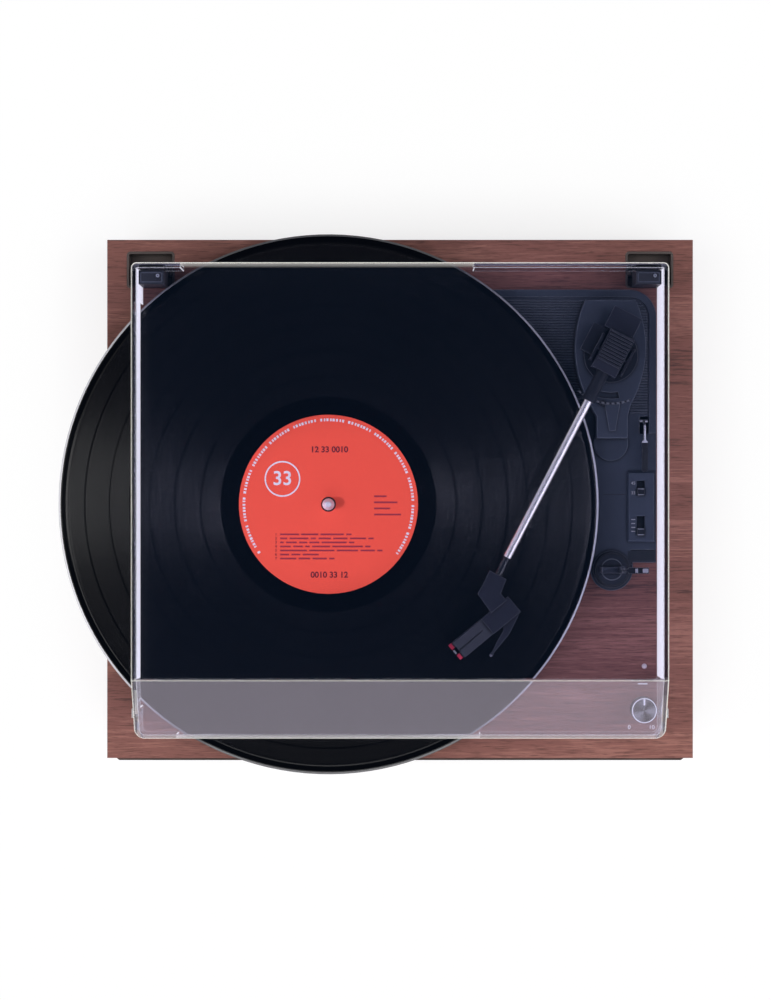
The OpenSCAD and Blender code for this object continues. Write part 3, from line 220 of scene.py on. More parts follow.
class Finish(Nodes):
    """A material that is built up from a Principled shader and a few procedural nodes."""

    def __init__(self, name, base, roughness, **sockets):
        self.material = bpy.data.materials.new(name)
        self.material.use_nodes = True
        super().__init__(self.material.node_tree)
        self.shader = self.tree.nodes["Principled BSDF"]
        self.shader.inputs["Base Color"].default_value = (*base, 1)
        self.shader.inputs["Roughness"].default_value = roughness
        for socket, value in sockets.items():
            self.shader.inputs[socket.replace("_", " ")].default_value = value
        self.normal = self.soft = None

    def place(self, scale=(1, 1, 1), origin=(0, 0, 0)):
        """Object coordinates in metres, moved to an origin and then scaled."""
        mapping = self.add("Mapping")
        mapping.inputs["Location"].default_value = [-o * s for o, s in zip(origin, scale)]
        mapping.inputs["Scale"].default_value = scale
        self.link(self.add("TexCoord").outputs["Object"], mapping.inputs["Vector"])
        return mapping.outputs["Vector"]

    def noise(self, vector, detail, roughness=0.6, distortion=0):
        """A noise value at the given coordinates."""
        node = self.add("TexNoise")
        node.inputs["Scale"].default_value = 1
        node.inputs["Detail"].default_value = detail
        node.inputs["Roughness"].default_value = roughness
        node.inputs["Distortion"].default_value = distortion
        self.link(vector, node.inputs["Vector"])
        return node.outputs["Fac"]

    def specks(self, rate, detail, roughness=0.6, distortion=0):
        """Even noise with a number of specks to the metre."""
        return self.noise(self.place([rate] * 3), detail, roughness, distortion)

    def spread(self, value, low, high):
        """Stretches a value between 0 and 1 to a new span."""
        node = self.add("MapRange")
        node.inputs["To Min"].default_value = low
        node.inputs["To Max"].default_value = high
        self.link(value, node.inputs["Value"])
        return node.outputs["Result"]

    def round_edges(self, radius):
        """Softens the look of sharp edges."""
        node = self.add("Bevel", samples=4)
        node.inputs["Radius"].default_value = radius
        self.soft = self.normal = node.outputs["Normal"]
        self.link(self.normal, self.shader.inputs["Normal"])
        return self

    def edge_mask(self, full=0.78):
        """Is 1 along the softened edges and 0 away from them."""
        dot = self.add("VectorMath", operation="DOT_PRODUCT")
        self.link(self.soft, dot.inputs[0])
        self.link(self.add("NewGeometry").outputs["Normal"], dot.inputs[1])
        return self.ramp(dot.outputs["Value"], [(full, 1.0), (0.99, 0.0)])

    def turn_grain(self):
        """Lays the stretched shine along circles about the vertical."""
        tangent = self.add("Tangent", direction_type="RADIAL", axis="Z")
        self.link(tangent.outputs[0], self.shader.inputs["Tangent"])
        return self

    def bump(self, height, depth):
        """Adds relief; the depth is in metres."""
        node = self.add("Bump")
        node.inputs["Distance"].default_value = depth
        self.link(height, node.inputs["Height"])
        if self.normal:
            self.link(self.normal, node.inputs["Normal"])
        self.normal = node.outputs["Normal"]
        self.link(self.normal, self.shader.inputs["Normal"])
        return self

    def paint(self, socket):
        """Drives the base colour."""
        self.link(socket, self.shader.inputs["Base Color"])
        return self

    def roughen(self, value, low, high):
        """Varies the roughness between two values."""
        self.link(self.spread(value, low, high), self.shader.inputs["Roughness"])
        return self

    def sum(self, first, second):
        """Adds the light of two shader nodes."""
        both = self.add("AddShader")
        self.link(first.outputs[0], both.inputs[0])
        self.link(second.outputs[0], both.inputs[1])
        return both.outputs[0]

    def blend(self, factor, first, second):
        """Mixes two shaders and feeds the surface."""
        mix = self.add("MixShader")
        self.link(factor, mix.inputs[0])
        self.link(first, mix.inputs[1])
        self.link(second, mix.inputs[2])
        self.link(mix.outputs[0], self.tree.nodes["Material Output"].inputs["Surface"])
        return mix.outputs[0]


def walnut(name, tones, along, edge):
    """Satin walnut veneer with its grain along one axis."""
    light, middle, dark = (tuple(tone) for tone in tones)
    made = Finish(name, middle, 0.5, Specular_IOR_Level=0.3).round_edges(edge)

    def stretch(length_rate, cross_rate):
        return made.place([length_rate if axis == along else cross_rate for axis in range(3)])

    figure = made.noise(stretch(4, 46), detail=3, distortion=0.4)
    streak = made.noise(stretch(28, 560), detail=6, roughness=0.72, distortion=0.3)
    pores = made.noise(stretch(110, 2300), detail=2)
    grain = made.math("ADD", made.product(figure, 0.45), made.product(streak, 0.55))
    tone = made.ramp(grain, [(0.37, dark), (0.60, light), (0.45, middle), (0.52, middle)])
    pits = made.ramp(pores, [(0.34, 0.40), (0.47, 1.0)])
    made.paint(made.mix("MULTIPLY", 0.75, tone, pits))
    made.roughen(streak, 0.42, 0.62)
    return made.bump(made.math("ADD", pores, streak), 0.06 * MM).material


def board(name, base, speckle_rate):
    """Raw board or fibreboard with fine specks."""
    made = Finish(name, base, 0.8)
    specks = made.specks(speckle_rate, 8, roughness=0.75)
    made.paint(made.ramp(specks, shades(base, 0.65, 1.3, 0.35, 0.65)))
    return made.bump(specks, 0.1 * MM).material


def plastic(name, base, roughness, edge=0.2 * MM, edge_highlight=0.35, gloss=0.35, grain=0.03 * MM, rate=2600):
    """Moulded plastic with a fine spark grain, painted shade in its creases and a painted highlight along
    its convex edges.
    """
    made = Finish(name, base, roughness, Specular_IOR_Level=gloss).round_edges(edge)
    spark = made.specks(rate, 2)
    wear = made.specks(60, 5)
    highlight_tone = tuple(2.5 * c + 0.26 for c in base)
    nook = made.add("AmbientOcclusion", samples=4)
    nook.inputs["Distance"].default_value = 2 * MM
    openness = nook.outputs["AO"]
    tone = made.ramp(wear, shades(base, 0.88, 1.12))
    # Painted shade: the colour is darkened where ambient occlusion finds creases, recesses and gaps between
    # parts.
    tone = made.mix("MULTIPLY", 1.0, tone, made.ramp(openness, [(0.50, 0.10), (0.97, 1.0)]))
    # Painted highlight: convex edges, away from creases, are mixed towards a paler tone.
    highlight_mask = made.product(made.edge_mask(), made.ramp(openness, [(0.60, 0.0), (0.90, 1.0)]), edge_highlight)
    made.paint(made.mix("MIX", highlight_mask, tone, highlight_tone))
    made.roughen(wear, roughness - 0.06, roughness + 0.06)
    return made.bump(spark, grain).material


def stylus_red(name, base, tip):
    """Red plastic that is black except at its tip."""
    made = Finish(name, base, 0.35)
    along = made.add("VectorMath", operation="DOT_PRODUCT")
    made.link(made.place(origin=tip), along.inputs[0])
    along.inputs[1].default_value = SHELL_AXIS
    cloud = made.specks(900, 2)
    red = made.ramp(cloud, shades(base, 0.85))
    near = made.math("GREATER_THAN", along.outputs["Value"], -1.9 * MM)
    made.paint(made.mix("MIX", near, (0.010, 0.010, 0.012), red))
    return made.bump(cloud, 0.02 * MM).material


def wire_lever(name, base, wire_start):
    """Black handle on a bright wire that starts at a given Y."""
    made = Finish(name, base, 0.4).round_edges(0.3 * MM)
    wire = made.math("GREATER_THAN", made.axes(made.place())["Y"], wire_start)
    grain = made.specks(1500, 3)
    dark = made.ramp(grain, shades(base, 0.7))
    made.paint(made.mix("MIX", wire, dark, (0.72, 0.72, 0.74)))
    made.link(wire, made.shader.inputs["Metallic"])
    return made.bump(grain, 0.02 * MM).material


def rubber(name, base):
    """Matte rubber with a dusty bloom."""
    made = Finish(name, base, 0.85, Specular_IOR_Level=0.25)
    dust = made.specks(240, 8)
    made.paint(made.ramp(dust, shades(base, 0.7, 1.5, 0.35)))
    return made.bump(dust, 0.05 * MM).material


def felt(name, base):
    """Short felt fibres."""
    made = Finish(name, base, 0.95, Sheen_Weight=0.4)
    fibres = made.specks(1800, 6, roughness=0.8, distortion=1.2)
    made.paint(made.ramp(fibres, shades(base, 0.5, 1.6)))
    return made.bump(fibres, 0.3 * MM).material


def metal(name, base, roughness):
    """Bare metal with faint handling marks."""
    made = Finish(name, base, roughness, Metallic=1.0).round_edges(0.15 * MM)
    return made.roughen(made.specks(900, 4), roughness * 0.8, roughness * 1.25).material


def turned_metal(name, base, roughness, turning, painted_sheen_centre=None):
    """Metal turned about a vertical axis, so that its shine fans out; a given centre also stripes its base
    colour with a painted sheen in light and dark sectors round it.
    """
    made = Finish(name, base, roughness, Metallic=1.0, Anisotropic=turning, Anisotropic_Rotation=0.25)
    made.round_edges(0.1 * MM).turn_grain()
    made.roughen(made.specks(700, 3), roughness * 0.85, roughness * 1.2)
    if painted_sheen_centre:
        # Painted sheen: the base colour is striped lighter and darker by the angle round the given centre,
        # standing in for the conical shine of turned metal.
        spot = made.axes(made.place(origin=painted_sheen_centre))
        angle = made.math("ARCTAN2", spot["Y"], spot["X"])
        painted_sheen = made.math("COSINE", made.math("ADD", made.product(angle, 3), 0.6))
        painted_sheen = made.math("ADD", made.product(painted_sheen, 0.5), 0.5)
        made.paint(made.ramp(painted_sheen, shades(base, 0.25, 2.6, 0, 1)))
    return made.material


def from_axis(made, centre):
    """Distance from a vertical axis, in metres."""
    flat = made.place((1, 1, 0), (centre.x, centre.y, 0))
    node = made.add("VectorMath", operation="LENGTH")
    made.link(flat, node.inputs[0])
    return node.outputs["Value"]


# Radii in millimetres on the record: the smooth gaps between its tracks, its grooves and its rim
TRACK_GAPS = (136.4, 122.4, 111.0, 100.3, 86.0, 71.5)
GROOVE_START = 147.0
GROOVE_END = 60.0
RIM_START = 149.9


def vinyl(name, base, rim, centre):
    """Pressed vinyl: fine grooves in bands, with smooth dark gaps between the tracks, and a painted
    highlight on the upper face of its outer rim.
    """
    made = Finish(name, base, 0.3, Specular_IOR_Level=0.28, Anisotropic=0.88, Anisotropic_Rotation=0.25)
    made.round_edges(0.8 * MM).turn_grain()
    span = 160 * MM
    radius = made.math("DIVIDE", from_axis(made, centre), span)
    gap = 0.35 * MM / span
    stops = [(0.0, 0.0), (1.0, 0.0)]
    edges = [GROOVE_END, *sorted(TRACK_GAPS), GROOVE_START]
    for inner, outer in zip(edges, edges[1:]):
        low, high = inner * MM / span + gap, outer * MM / span - gap
        stops += [(low - gap / 2, 0.0), (low + gap / 2, 1.0), (high - gap / 2, 1.0), (high + gap / 2, 0.0)]
    grooves = made.ramp(radius, stops)
    ripple = made.math("SINE", made.product(radius, span * 2 * math.pi / (0.9 * MM)))
    drift = made.specks(30, 6)
    tone = made.ramp(grooves, shades(base, 0.6, 1, 0, 1))
    facing = made.axes(made.add("NewGeometry").outputs["Normal"])
    # Painted highlight: the rim colour is laid on the upward faces of the outer rim, strongest at the left
    # and right where the side lamps catch it.
    upward = made.math("GREATER_THAN", facing["Z"], 0.15)
    outer = made.math("GREATER_THAN", radius, RIM_START * MM / span)
    aside = made.math("ABSOLUTE", made.axes(made.place(origin=centre))["X"])
    aside = made.math("DIVIDE", aside, GROOVE_START * MM)
    painted_rim_highlight = made.product(upward, outer, made.ramp(aside, [(0.50, 0.15), (0.92, 1.0)]))
    made.paint(made.mix("MIX", painted_rim_highlight, tone, rim))
    rough = made.math("ADD", made.product(grooves, 0.15), made.product(drift, 0.08))
    made.link(made.math("ADD", rough, 0.06), made.shader.inputs["Roughness"])
    return made.bump(made.product(ripple, grooves), 0.012 * MM).material


def paper(name, base):
    """Uncoated label paper."""
    made = Finish(name, base, 0.65, Specular_IOR_Level=0.25)
    fibres = made.specks(900, 6)
    dark, light = [tuple(min(c, 1) for c in shade(base, k)) for k in (0.95, 1.03)]
    made.paint(made.ramp(fibres, [(0.3, dark), (0.7, light)]))
    return made.bump(fibres, 0.02 * MM).material


def ink(name, base):
    """Flat printing ink, slightly uneven."""
    made = Finish(name, base, 0.6, Specular_IOR_Level=0.2)
    made.paint(made.ramp(made.specks(1500, 3), shades(base, 0.88)))
    return made.material


def circuit_green(name, base):
    """Solder mask with paler tracks."""
    made = Finish(name, base, 0.4)
    cells = made.add("TexVoronoi", feature="DISTANCE_TO_EDGE", distance="CHEBYCHEV")
    cells.inputs["Scale"].default_value = 160
    made.link(made.add("TexCoord").outputs["Object"], cells.inputs["Vector"])
    made.paint(made.ramp(cells.outputs["Distance"], shades(base, 1.8, 1, 0.04, 0.09)))
    return made.material


def lens_white(name, base):
    """Milky lens of a small lamp."""
    made = Finish(name, base, 0.25, Subsurface_Weight=0.2)
    made.paint(made.ramp(made.specks(1200, 2), shades(base, 0.9)))
    return made.material


# The cover's wall, and the room that its rear opening leaves round the record
COVER_WALL = 2.5 * MM
OPENING_CLEARANCE = 3.5 * MM
# How high the cover's painted pale sills lie at most, the width of its painted pale rear fringe, and that
# of its painted pale sides
SILL_REACH = 20 * MM
FRINGE = 4 * MM
SIDE_MARGIN = 4 * MM


def painted_wall_highlights(made, facing, grazing, sideways, outside, edges, slope, low, high, opening):
    """How strongly the cover is painted pale as a highlight: its side walls, its edges, its front sill and
    its rear fringe.
    """
    spot = made.axes(made.place())
    slope_end = low.y + slope
    behind = made.spread(made.math("GREATER_THAN", spot["Y"], slope_end), 0.12, 1.0)
    reach = (high.x - low.x) / 2 - SIDE_MARGIN
    aside = made.math("ABSOLUTE", made.math("SUBTRACT", spot["X"], (low.x + high.x) / 2))
    side_wall = made.product(behind, made.math("GREATER_THAN", aside, reach))
    side_wall_highlight = made.product(grazing, sideways, side_wall)
    rims = made.product(made.math("MAXIMUM", side_wall_highlight, edges), outside)
    level = made.math("GREATER_THAN", made.math("ABSOLUTE", facing["Z"]), 0.5)
    under = made.math("LESS_THAN", spot["Z"], low.z + SILL_REACH)
    sill = made.product(level, under, made.math("LESS_THAN", spot["Y"], slope_end), 0.45)
    back = made.product(made.math("SUBTRACT", high.y, spot["Y"]), 1 / FRINGE)
    fringe = made.ramp(back, [(0.08, 0.42), (0.75, 0.0), (0.42, 0.26)])
    start = made.math("GREATER_THAN", spot["X"], opening[0])
    end = made.math("LESS_THAN", spot["X"], opening[1])
    fringe = made.product(fringe, level, outside, start, end)
    return made.math("MAXIMUM", made.math("MAXIMUM", rims, sill), fringe)


def acrylic(name, look, low, high, opening):
    """Clear tinted acrylic that lamps shine through, with painted highlights and a painted glow along its
    walls and edges, and painted shade where a wall is seen from inside at a grazing angle.
    """
    tint = tuple(look.tint)
    made = Finish(name, tint, 0.0, IOR=1.49, Transmission_Weight=1.0).round_edges(look.edge)
    made.roughen(made.specks(35, 4), 0.0, 0.012)
    path = made.add("LightPath").outputs
    clear = made.add("BsdfTransparent")
    clear.inputs["Color"].default_value = (*(math.sqrt(c) for c in tint), 1)
    through = made.math("MAXIMUM", path["Is Shadow Ray"], path["Is Diffuse Ray"])
    view = made.add("LayerWeight")
    view.inputs["Blend"].default_value = 0.5
    grazing = made.ramp(view.outputs["Facing"], [(0.82, 0.0), (0.89, 1.0)])
    geometry = made.add("NewGeometry").outputs
    inside = geometry["Backfacing"]
    outside = made.math("SUBTRACT", 1, inside)
    facing = made.axes(geometry["Normal"])
    sideways = made.ramp(made.math("ABSOLUTE", facing["Y"]), [(0.3, 1.0), (0.9, 0.05)])
    edges = made.edge_mask(0.92)
    painted_paleness = painted_wall_highlights(
        made, facing, grazing, sideways, outside, edges, look.slope, low, high, opening
    )
    # Painted highlight: the pale diffuse and translucent tone laid over the walls, edges, sill and rear
    # fringe.
    pale = made.add("MixShader")
    pale.inputs[0].default_value = 0.85
    for slot, kind in ((1, "BsdfDiffuse"), (2, "BsdfTranslucent")):
        node = made.add(kind)
        node.inputs["Color"].default_value = (*look.rim, 1)
        made.link(node.outputs[0], pale.inputs[slot])
    # Painted glow: an emission on the walls, stronger along the edges, though the cover is no lamp.
    shine = made.add("Emission")
    shine.inputs["Color"].default_value = (1.0, 0.99, 0.82, 1)
    made.link(made.math("ADD", made.product(edges, 0.35), look.glow), shine.inputs["Strength"])
    painted_wall_light = made.sum(pale, shine)
    # Painted shade: a wall seen from inside at a grazing angle turns to this dark diffuse.
    painted_wall_shade = made.add("BsdfDiffuse")
    made.link(made.mix("MIX", sideways, shade(tint, 0.30), shade(tint, 0.04)), painted_wall_shade.inputs["Color"])
    walls = made.blend(made.product(grazing, inside, 0.75), made.shader.outputs[0], painted_wall_shade.outputs[0])
    walls = made.blend(painted_paleness, walls, painted_wall_light)
    made.blend(through, walls, clear.outputs[0])
    return made.material


# Pieces

# Height of the deck's face above the plinth, and the Y where the cue lever's bare wire starts
DECK_RISE = 2 * MM
WIRE_START = 34.5 * MM
# Thickness of the marks on the plinth and the deck
MARK_THICKNESS = 0.05 * MM
# Direction of the headshell, from its neck to the stylus, with the arm at rest
SHELL_AXIS = Vector((-0.767, -0.642, 0))
# Direction in which the finger lift points
FINGER_AXIS = Vector((-0.5, -0.85, 0))


def mm(*values):
    """A vector written in millimetres."""
    return Vector([value * MM for value in values])


def corners_of(name):
    """Corners of a CAD node's mesh."""
    return [vertex.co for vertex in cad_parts[name].data.vertices]


def farthest(name, direction):
    """Middle of the end of a CAD node that lies farthest along a direction."""
    corners = corners_of(name)
    reach = max(corner.dot(direction) for corner in corners)
    end = [corner for corner in corners if corner.dot(direction) > reach - 0.2 * MM]
    return sum(end, Vector()) / len(end)


def dress(material, *names):
    """Gives CAD nodes one finish."""
    for name in names:
        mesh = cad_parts[name].data
        mesh.materials.clear()
        mesh.materials.append(material)


def middle(name):
    """Middle of a CAD node's box."""
    low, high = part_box(name)
    return (low + high) / 2


def top_of(name):
    """Middle of the upper face of a CAD node's box."""
    low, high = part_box(name)
    return Vector(((low.x + high.x) / 2, (low.y + high.y) / 2, high.z))


def add_piece(name, data, material, body, place=(0, 0, 0)):
    """Puts a new piece in the scene, riding on a body."""
    data.materials.append(material)
    piece = bpy.data.objects.new(name, data)
    piece.location = place
    bpy.context.scene.collection.objects.link(piece)
    bpy.context.view_layer.update()
    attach(piece, body)


def mesh_piece(name, shape, material, body):
    """Turns a bmesh into a piece."""
    mesh = bpy.data.meshes.new(name)
    shape.to_mesh(mesh)
    shape.free()
    add_piece(name, mesh, material, body)


def bar_piece(name, bars, material, body, slot):
    """Makes a piece of flat bars; each has a centre, a size and maybe a turn."""
    shape = bmesh.new()
    for bar in bars:
        add_bar(shape, *bar)
    mesh_piece(name, shape, material, body)


def ring_piece(name, rings, material, body, slot):
    """Makes a piece of flat rings, each given as for add_ring."""
    shape = bmesh.new()
    for ring in rings:
        add_ring(shape, *ring)
    mesh_piece(name, shape, material, body)


def add_bar(shape, centre, size, turn=0.0):
    """Adds a flat bar, turned about the vertical."""
    matrix = Matrix.Translation(centre) @ Matrix.Rotation(turn, 4, "Z") @ Matrix.Diagonal((*size, 1))
    bmesh.ops.create_cube(shape, size=1, matrix=matrix)


def add_ring(shape, centre, inner, outer, height, steps=96, start=0.0, sweep=2 * math.pi):
    """Adds a flat ring or a part of one, standing on its centre."""
    closed = abs(sweep - 2 * math.pi) < 1e-6
    profile = ((inner, 0), (outer, 0), (outer, height), (inner, height))
    sections = []
    for step in range(steps if closed else steps + 1):
        angle = start + sweep * step / steps
        spoke = Vector((math.cos(angle), math.sin(angle), 0))
        sections.append([shape.verts.new(centre + spoke * r + Vector((0, 0, z))) for r, z in profile])
    pairs = list(zip(sections, sections[1:]))
    if closed:
        pairs.append((sections[-1], sections[0]))
    else:
        shape.faces.new(sections[0])
        shape.faces.new(sections[-1][::-1])
    for a, b in pairs:
        for k in range(4):
            shape.faces.new((a[k], b[k], b[(k + 1) % 4], a[(k + 1) % 4])[::-1])
    bmesh.ops.recalc_face_normals(shape, faces=shape.faces)


def add_digits(name, text, place, height, thickness, material, body, slot, weight=0.012):
    """Flat digits that read from the front, standing on a place."""
    curve = bpy.data.curves.new(name, "FONT")
    curve.body = text
    curve.size = height
    curve.extrude = thickness / 2
    curve.offset = height * weight
    curve.align_x = "CENTER"
    curve.align_y = "CENTER"
    add_piece(name, curve, material, body, place + Vector((0, 0, thickness / 2)))


class PLAYER_OT_plinth(bpy.types.Operator):
    """Dress the wooden plinth, its base and its feet"""

    bl_idname = "player.plinth"
    bl_label = "Plinth"

    def execute(self, context):
        wood = context.scene.player_wood
        tones = (wood.light, wood.middle, wood.dark)
        dress(walnut("walnut", tones, 0, wood.edge), "top_panel", "front_panel", "rear_panel")
        dress(walnut("walnut_side", tones, 1, wood.edge), "left_panel", "right_panel")
        base = Vector(wood.fascia)
        dress(walnut("dark_wood", (base * 1.6, base, base * 0.5), 0, wood.edge), "front_fascia")
        dress(board("block_wood", (0.50, 0.36, 0.22), 300), "corner_blocks")
        dress(board("base_board", (0.22, 0.16, 0.12), 900), "bottom_panel")
        dress(rubber("foot_rubber", (0.020, 0.020, 0.021)), "feet")
        dress(metal("screw_steel", (0.55, 0.56, 0.58), 0.35), "base_screws", "deck_screws", "jack_screws")
        return {"FINISHED"}


class PLAYER_OT_deck(bpy.types.Operator):
    """Dress the moulded deck, the pedestal and the arm rest"""

    bl_idname = "player.deck"
    bl_label = "Deck"

    def execute(self, context):
        look = context.scene.player_plastic
        deck = plastic("deck_plastic", tuple(look.deck), 0.55, look.edge, edge_highlight=0.8)
        dress(deck, "deck_plate", "arm_pedestal")
        rest = shade(look.black, 1.6)
        dress(plastic("clip_plastic", shade(rest, 0.5), 0.36, look.edge, edge_highlight=0.8), "rest_clip")
        dress(plastic("rest_plastic", rest, 0.42, look.edge, edge_highlight=0.8), "arm_rest")
        self.add_rest_rings()
        dress(metal("pin_steel", (0.62, 0.63, 0.65), 0.25), "clip_pin", "hinge_pins")
        dress(metal("dark_steel", (0.06, 0.06, 0.07), 0.4), "gimbal_pins")
        seam = plastic("seam_plastic", shade(look.deck, 0.35), 0.6)
        low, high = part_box("switch_plate")
        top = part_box("top_panel")[1].z + DECK_RISE
        lines = (
            (Vector((low.x - 7.2 * MM, 5.5 * MM, top)), mm(12.5, 0.5, 0.1)),
            (Vector(((low.x + high.x) / 2, low.y - 7.6 * MM, top)), mm(15.0, 5.2, 0.1)),
        )
        bar_piece("deck_seams", lines, seam, "chassis", "deck_plastic")
        # Painted glints: two small pale bars on top of the clip stand in for the light it catches.
        low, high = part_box("rest_clip")
        painted_glints = [
            (Vector((high.x - inset * MM, (low.y + high.y) / 2, high.z)), mm(width, 2.2, 0.2))
            for inset, width in ((1.9, 3.0), (6.8, 1.4))
        ]
        pale = plastic("clip_glint_plastic", (0.36, 0.36, 0.40), 0.4)
        bar_piece("clip_painted_glints", painted_glints, pale, "clip", "black_plastic")
        return {"FINISHED"}

    @staticmethod
    def add_rest_rings():
        """Adds two thin rings on the round foot of the arm rest: a black one as painted shade in the groove
        round the foot, and a grey one as a painted highlight on an inner ring edge.
        """
        low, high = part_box("arm_rest")
        radius = (high.y - low.y) / 2
        base = Vector((low.x + radius, (low.y + high.y) / 2, 0))
        foot = [c for c in corners_of("arm_rest") if (c - base).xy.length > radius - 2 * MM]
        top = base + Vector((0, 0, max(round(c.z, 5) for c in foot)))
        dark = plastic("ring_shade_black", (0.004, 0.005, 0.007), 0.5)
        pale = plastic("ring_highlight_grey", (0.10, 0.11, 0.13), 0.4)
        outer = (top, radius - 1.9 * MM, radius - 1.3 * MM, 0.1 * MM)
        ring_piece("rest_ring_painted_shade", (outer,), dark, "chassis", "black_plastic")
        inner = (top, 5.6 * MM, 6.2 * MM, 0.15 * MM)
        ring_piece("rest_ring_painted_highlight", (inner,), pale, "chassis", "black_plastic")


class PLAYER_OT_drive(bpy.types.Operator):
    """Dress the motor, the belt and the bearings"""

    bl_idname = "player.drive"
    bl_label = "Drive"

    def execute(self, context):
        brass = metal("brass", (0.72, 0.53, 0.24), 0.28)
        dress(brass, "spindle_bush", "motor_pulley", "arm_bush", "board_posts")
        dress(metal("can_metal", (0.48, 0.50, 0.52), 0.4), "motor_can", "volume_pot")
        dress(rubber("belt_rubber", (0.016, 0.016, 0.017)), "drive_belt")
        dress(circuit_green("circuit_green", (0.020, 0.130, 0.055)), "circuit_board")
        return {"FINISHED"}


class PLAYER_OT_record(bpy.types.Operator):
    """Dress the platter, the mat, the record and the spindle"""

    bl_idname = "player.record"
    bl_label = "Record"

    def execute(self, context):
        look = context.scene.player_record
        dress(turned_metal("platter_metal", (0.58, 0.59, 0.61), 0.3, 0.6), "platter")
        dress(felt("mat_felt", (0.028, 0.030, 0.036)), "slip_mat")
        dress(vinyl("vinyl", tuple(look.vinyl), tuple(look.rim), middle("record")), "record")
        dress(turned_metal("spindle_chrome", (0.86, 0.86, 0.87), 0.42, 0.3), "spindle")
        return {"FINISHED"}


# Rows of bars on the label, in millimetres from its middle
ROWS_TOP = -16.8
ROW_STEP = 2.25
WORDS_LEFT = -27.0
WORD_GAP = 1.3
BAR_HEIGHT = 0.95
# Four bars at the label's right: their left end, first row, step and widths in millimetres
SIDE_LEFT = 25.5
SIDE_TOP = 4.5
SIDE_STEP = 3.4
SIDE_BARS = (7.0, 13.0, 9.0, 15.0)
# Plain numbers on the label: name, digits, place from the label's middle and height in millimetres
LABEL_NUMBERS = (
    ("label_top", "12 33 0010", 0.5, 30.5, 4.6),
    ("label_foot", "0010 33 12", 0.5, -39.5, 4.6),
    *((f"label_row_{row + 1}", str(row + 1), -29.3, ROWS_TOP - ROW_STEP * row, 1.9) for row in range(7)),
)
# Widths in millimetres of the word-like bars in the label's seven rows
LABEL_WORDS = (
    (10.5, 9.5, 13.0, 3.0),
    (4.0, 10.5, 3.0, 7.0, 8.0, 9.0, 3.0),
    (2.0, 6.0, 4.5, 5.5, 14.0, 3.0),
    (6.0, 5.5, 2.5, 10.0, 17.0, 3.0),
    (15.0, 14.0, 12.0, 8.0, 3.0),
    (5.0, 5.0, 9.0),
    (9.0, 6.5, 8.0, 3.0),
)


class PLAYER_OT_label(bpy.types.Operator):
    """Print the record's label with a plain design"""

    bl_idname = "player.label"
    bl_label = "Label"

    def execute(self, context):
        look = context.scene.player_record
        dress(paper("label_paper", tuple(look.label)), "record_label")
        pale = ink("label_pale_ink", tuple(look.print_light))
        dark = ink("label_dark_ink", tuple(look.print_dark))
        soft = ink("label_soft_ink", shade(look.print_dark, 2.2))
        centre = top_of("record_label")
        thick = look.print_thickness
        on_label = ("platter", "label_paper")

        dashes = self.list_dashes(look, centre)
        ring_piece("label_ring", dashes, pale, *on_label)
        for name, text, x, y, size in LABEL_NUMBERS:
            add_digits(name, text, centre + mm(x, y, 0), size * MM, thick, dark, *on_label, 0.03)
        bars = []
        for row, words in enumerate(LABEL_WORDS):
            left = WORDS_LEFT
            for width in words:
                bars.append((left + width / 2, ROWS_TOP - ROW_STEP * row, width))
                left += width + WORD_GAP
        for row, width in enumerate(SIDE_BARS):
            bars.append((SIDE_LEFT + width / 2, SIDE_TOP - SIDE_STEP * row, width))
        lines = [
            (centre + Vector((x * MM, y * MM, thick / 2)), (width * MM, BAR_HEIGHT * MM, thick))
            for x, y, width in bars
        ]
        bar_piece("label_lines", lines, soft, *on_label)
        hole = (centre, 3.3 * MM, 4.2 * MM, thick)
        ring_piece("label_hole", (hole,), ink("hole_shade", (0.05, 0.012, 0.012)), *on_label)
        mark = centre + mm(-25.7, 14.2, 0)
        ring_piece("label_mark", ((mark, 9.2 * MM, 10.0 * MM, thick, 64),), pale, *on_label)
        add_digits("label_speed", "33", mark, 11 * MM, thick, pale, *on_label)
        return {"FINISHED"}

    @staticmethod
    def list_dashes(look, centre):
        """Short arcs of uneven length round the label, with a gap after every eighth."""
        start, sweep = math.radians(-36), math.radians(252)
        inner = look.dash_radius - look.dash_height / 2
        outer = inner + look.dash_height
        step = sweep / look.dashes
        dashes = []
        for k in range(look.dashes):
            if k % 9 != 8:
                fill = 0.45 + 0.25 * ((k * 7) % 5) / 4
                place = (centre, inner, outer, look.print_thickness)
                dashes.append((*place, 3, start + k * step, step * fill))
        return dashes


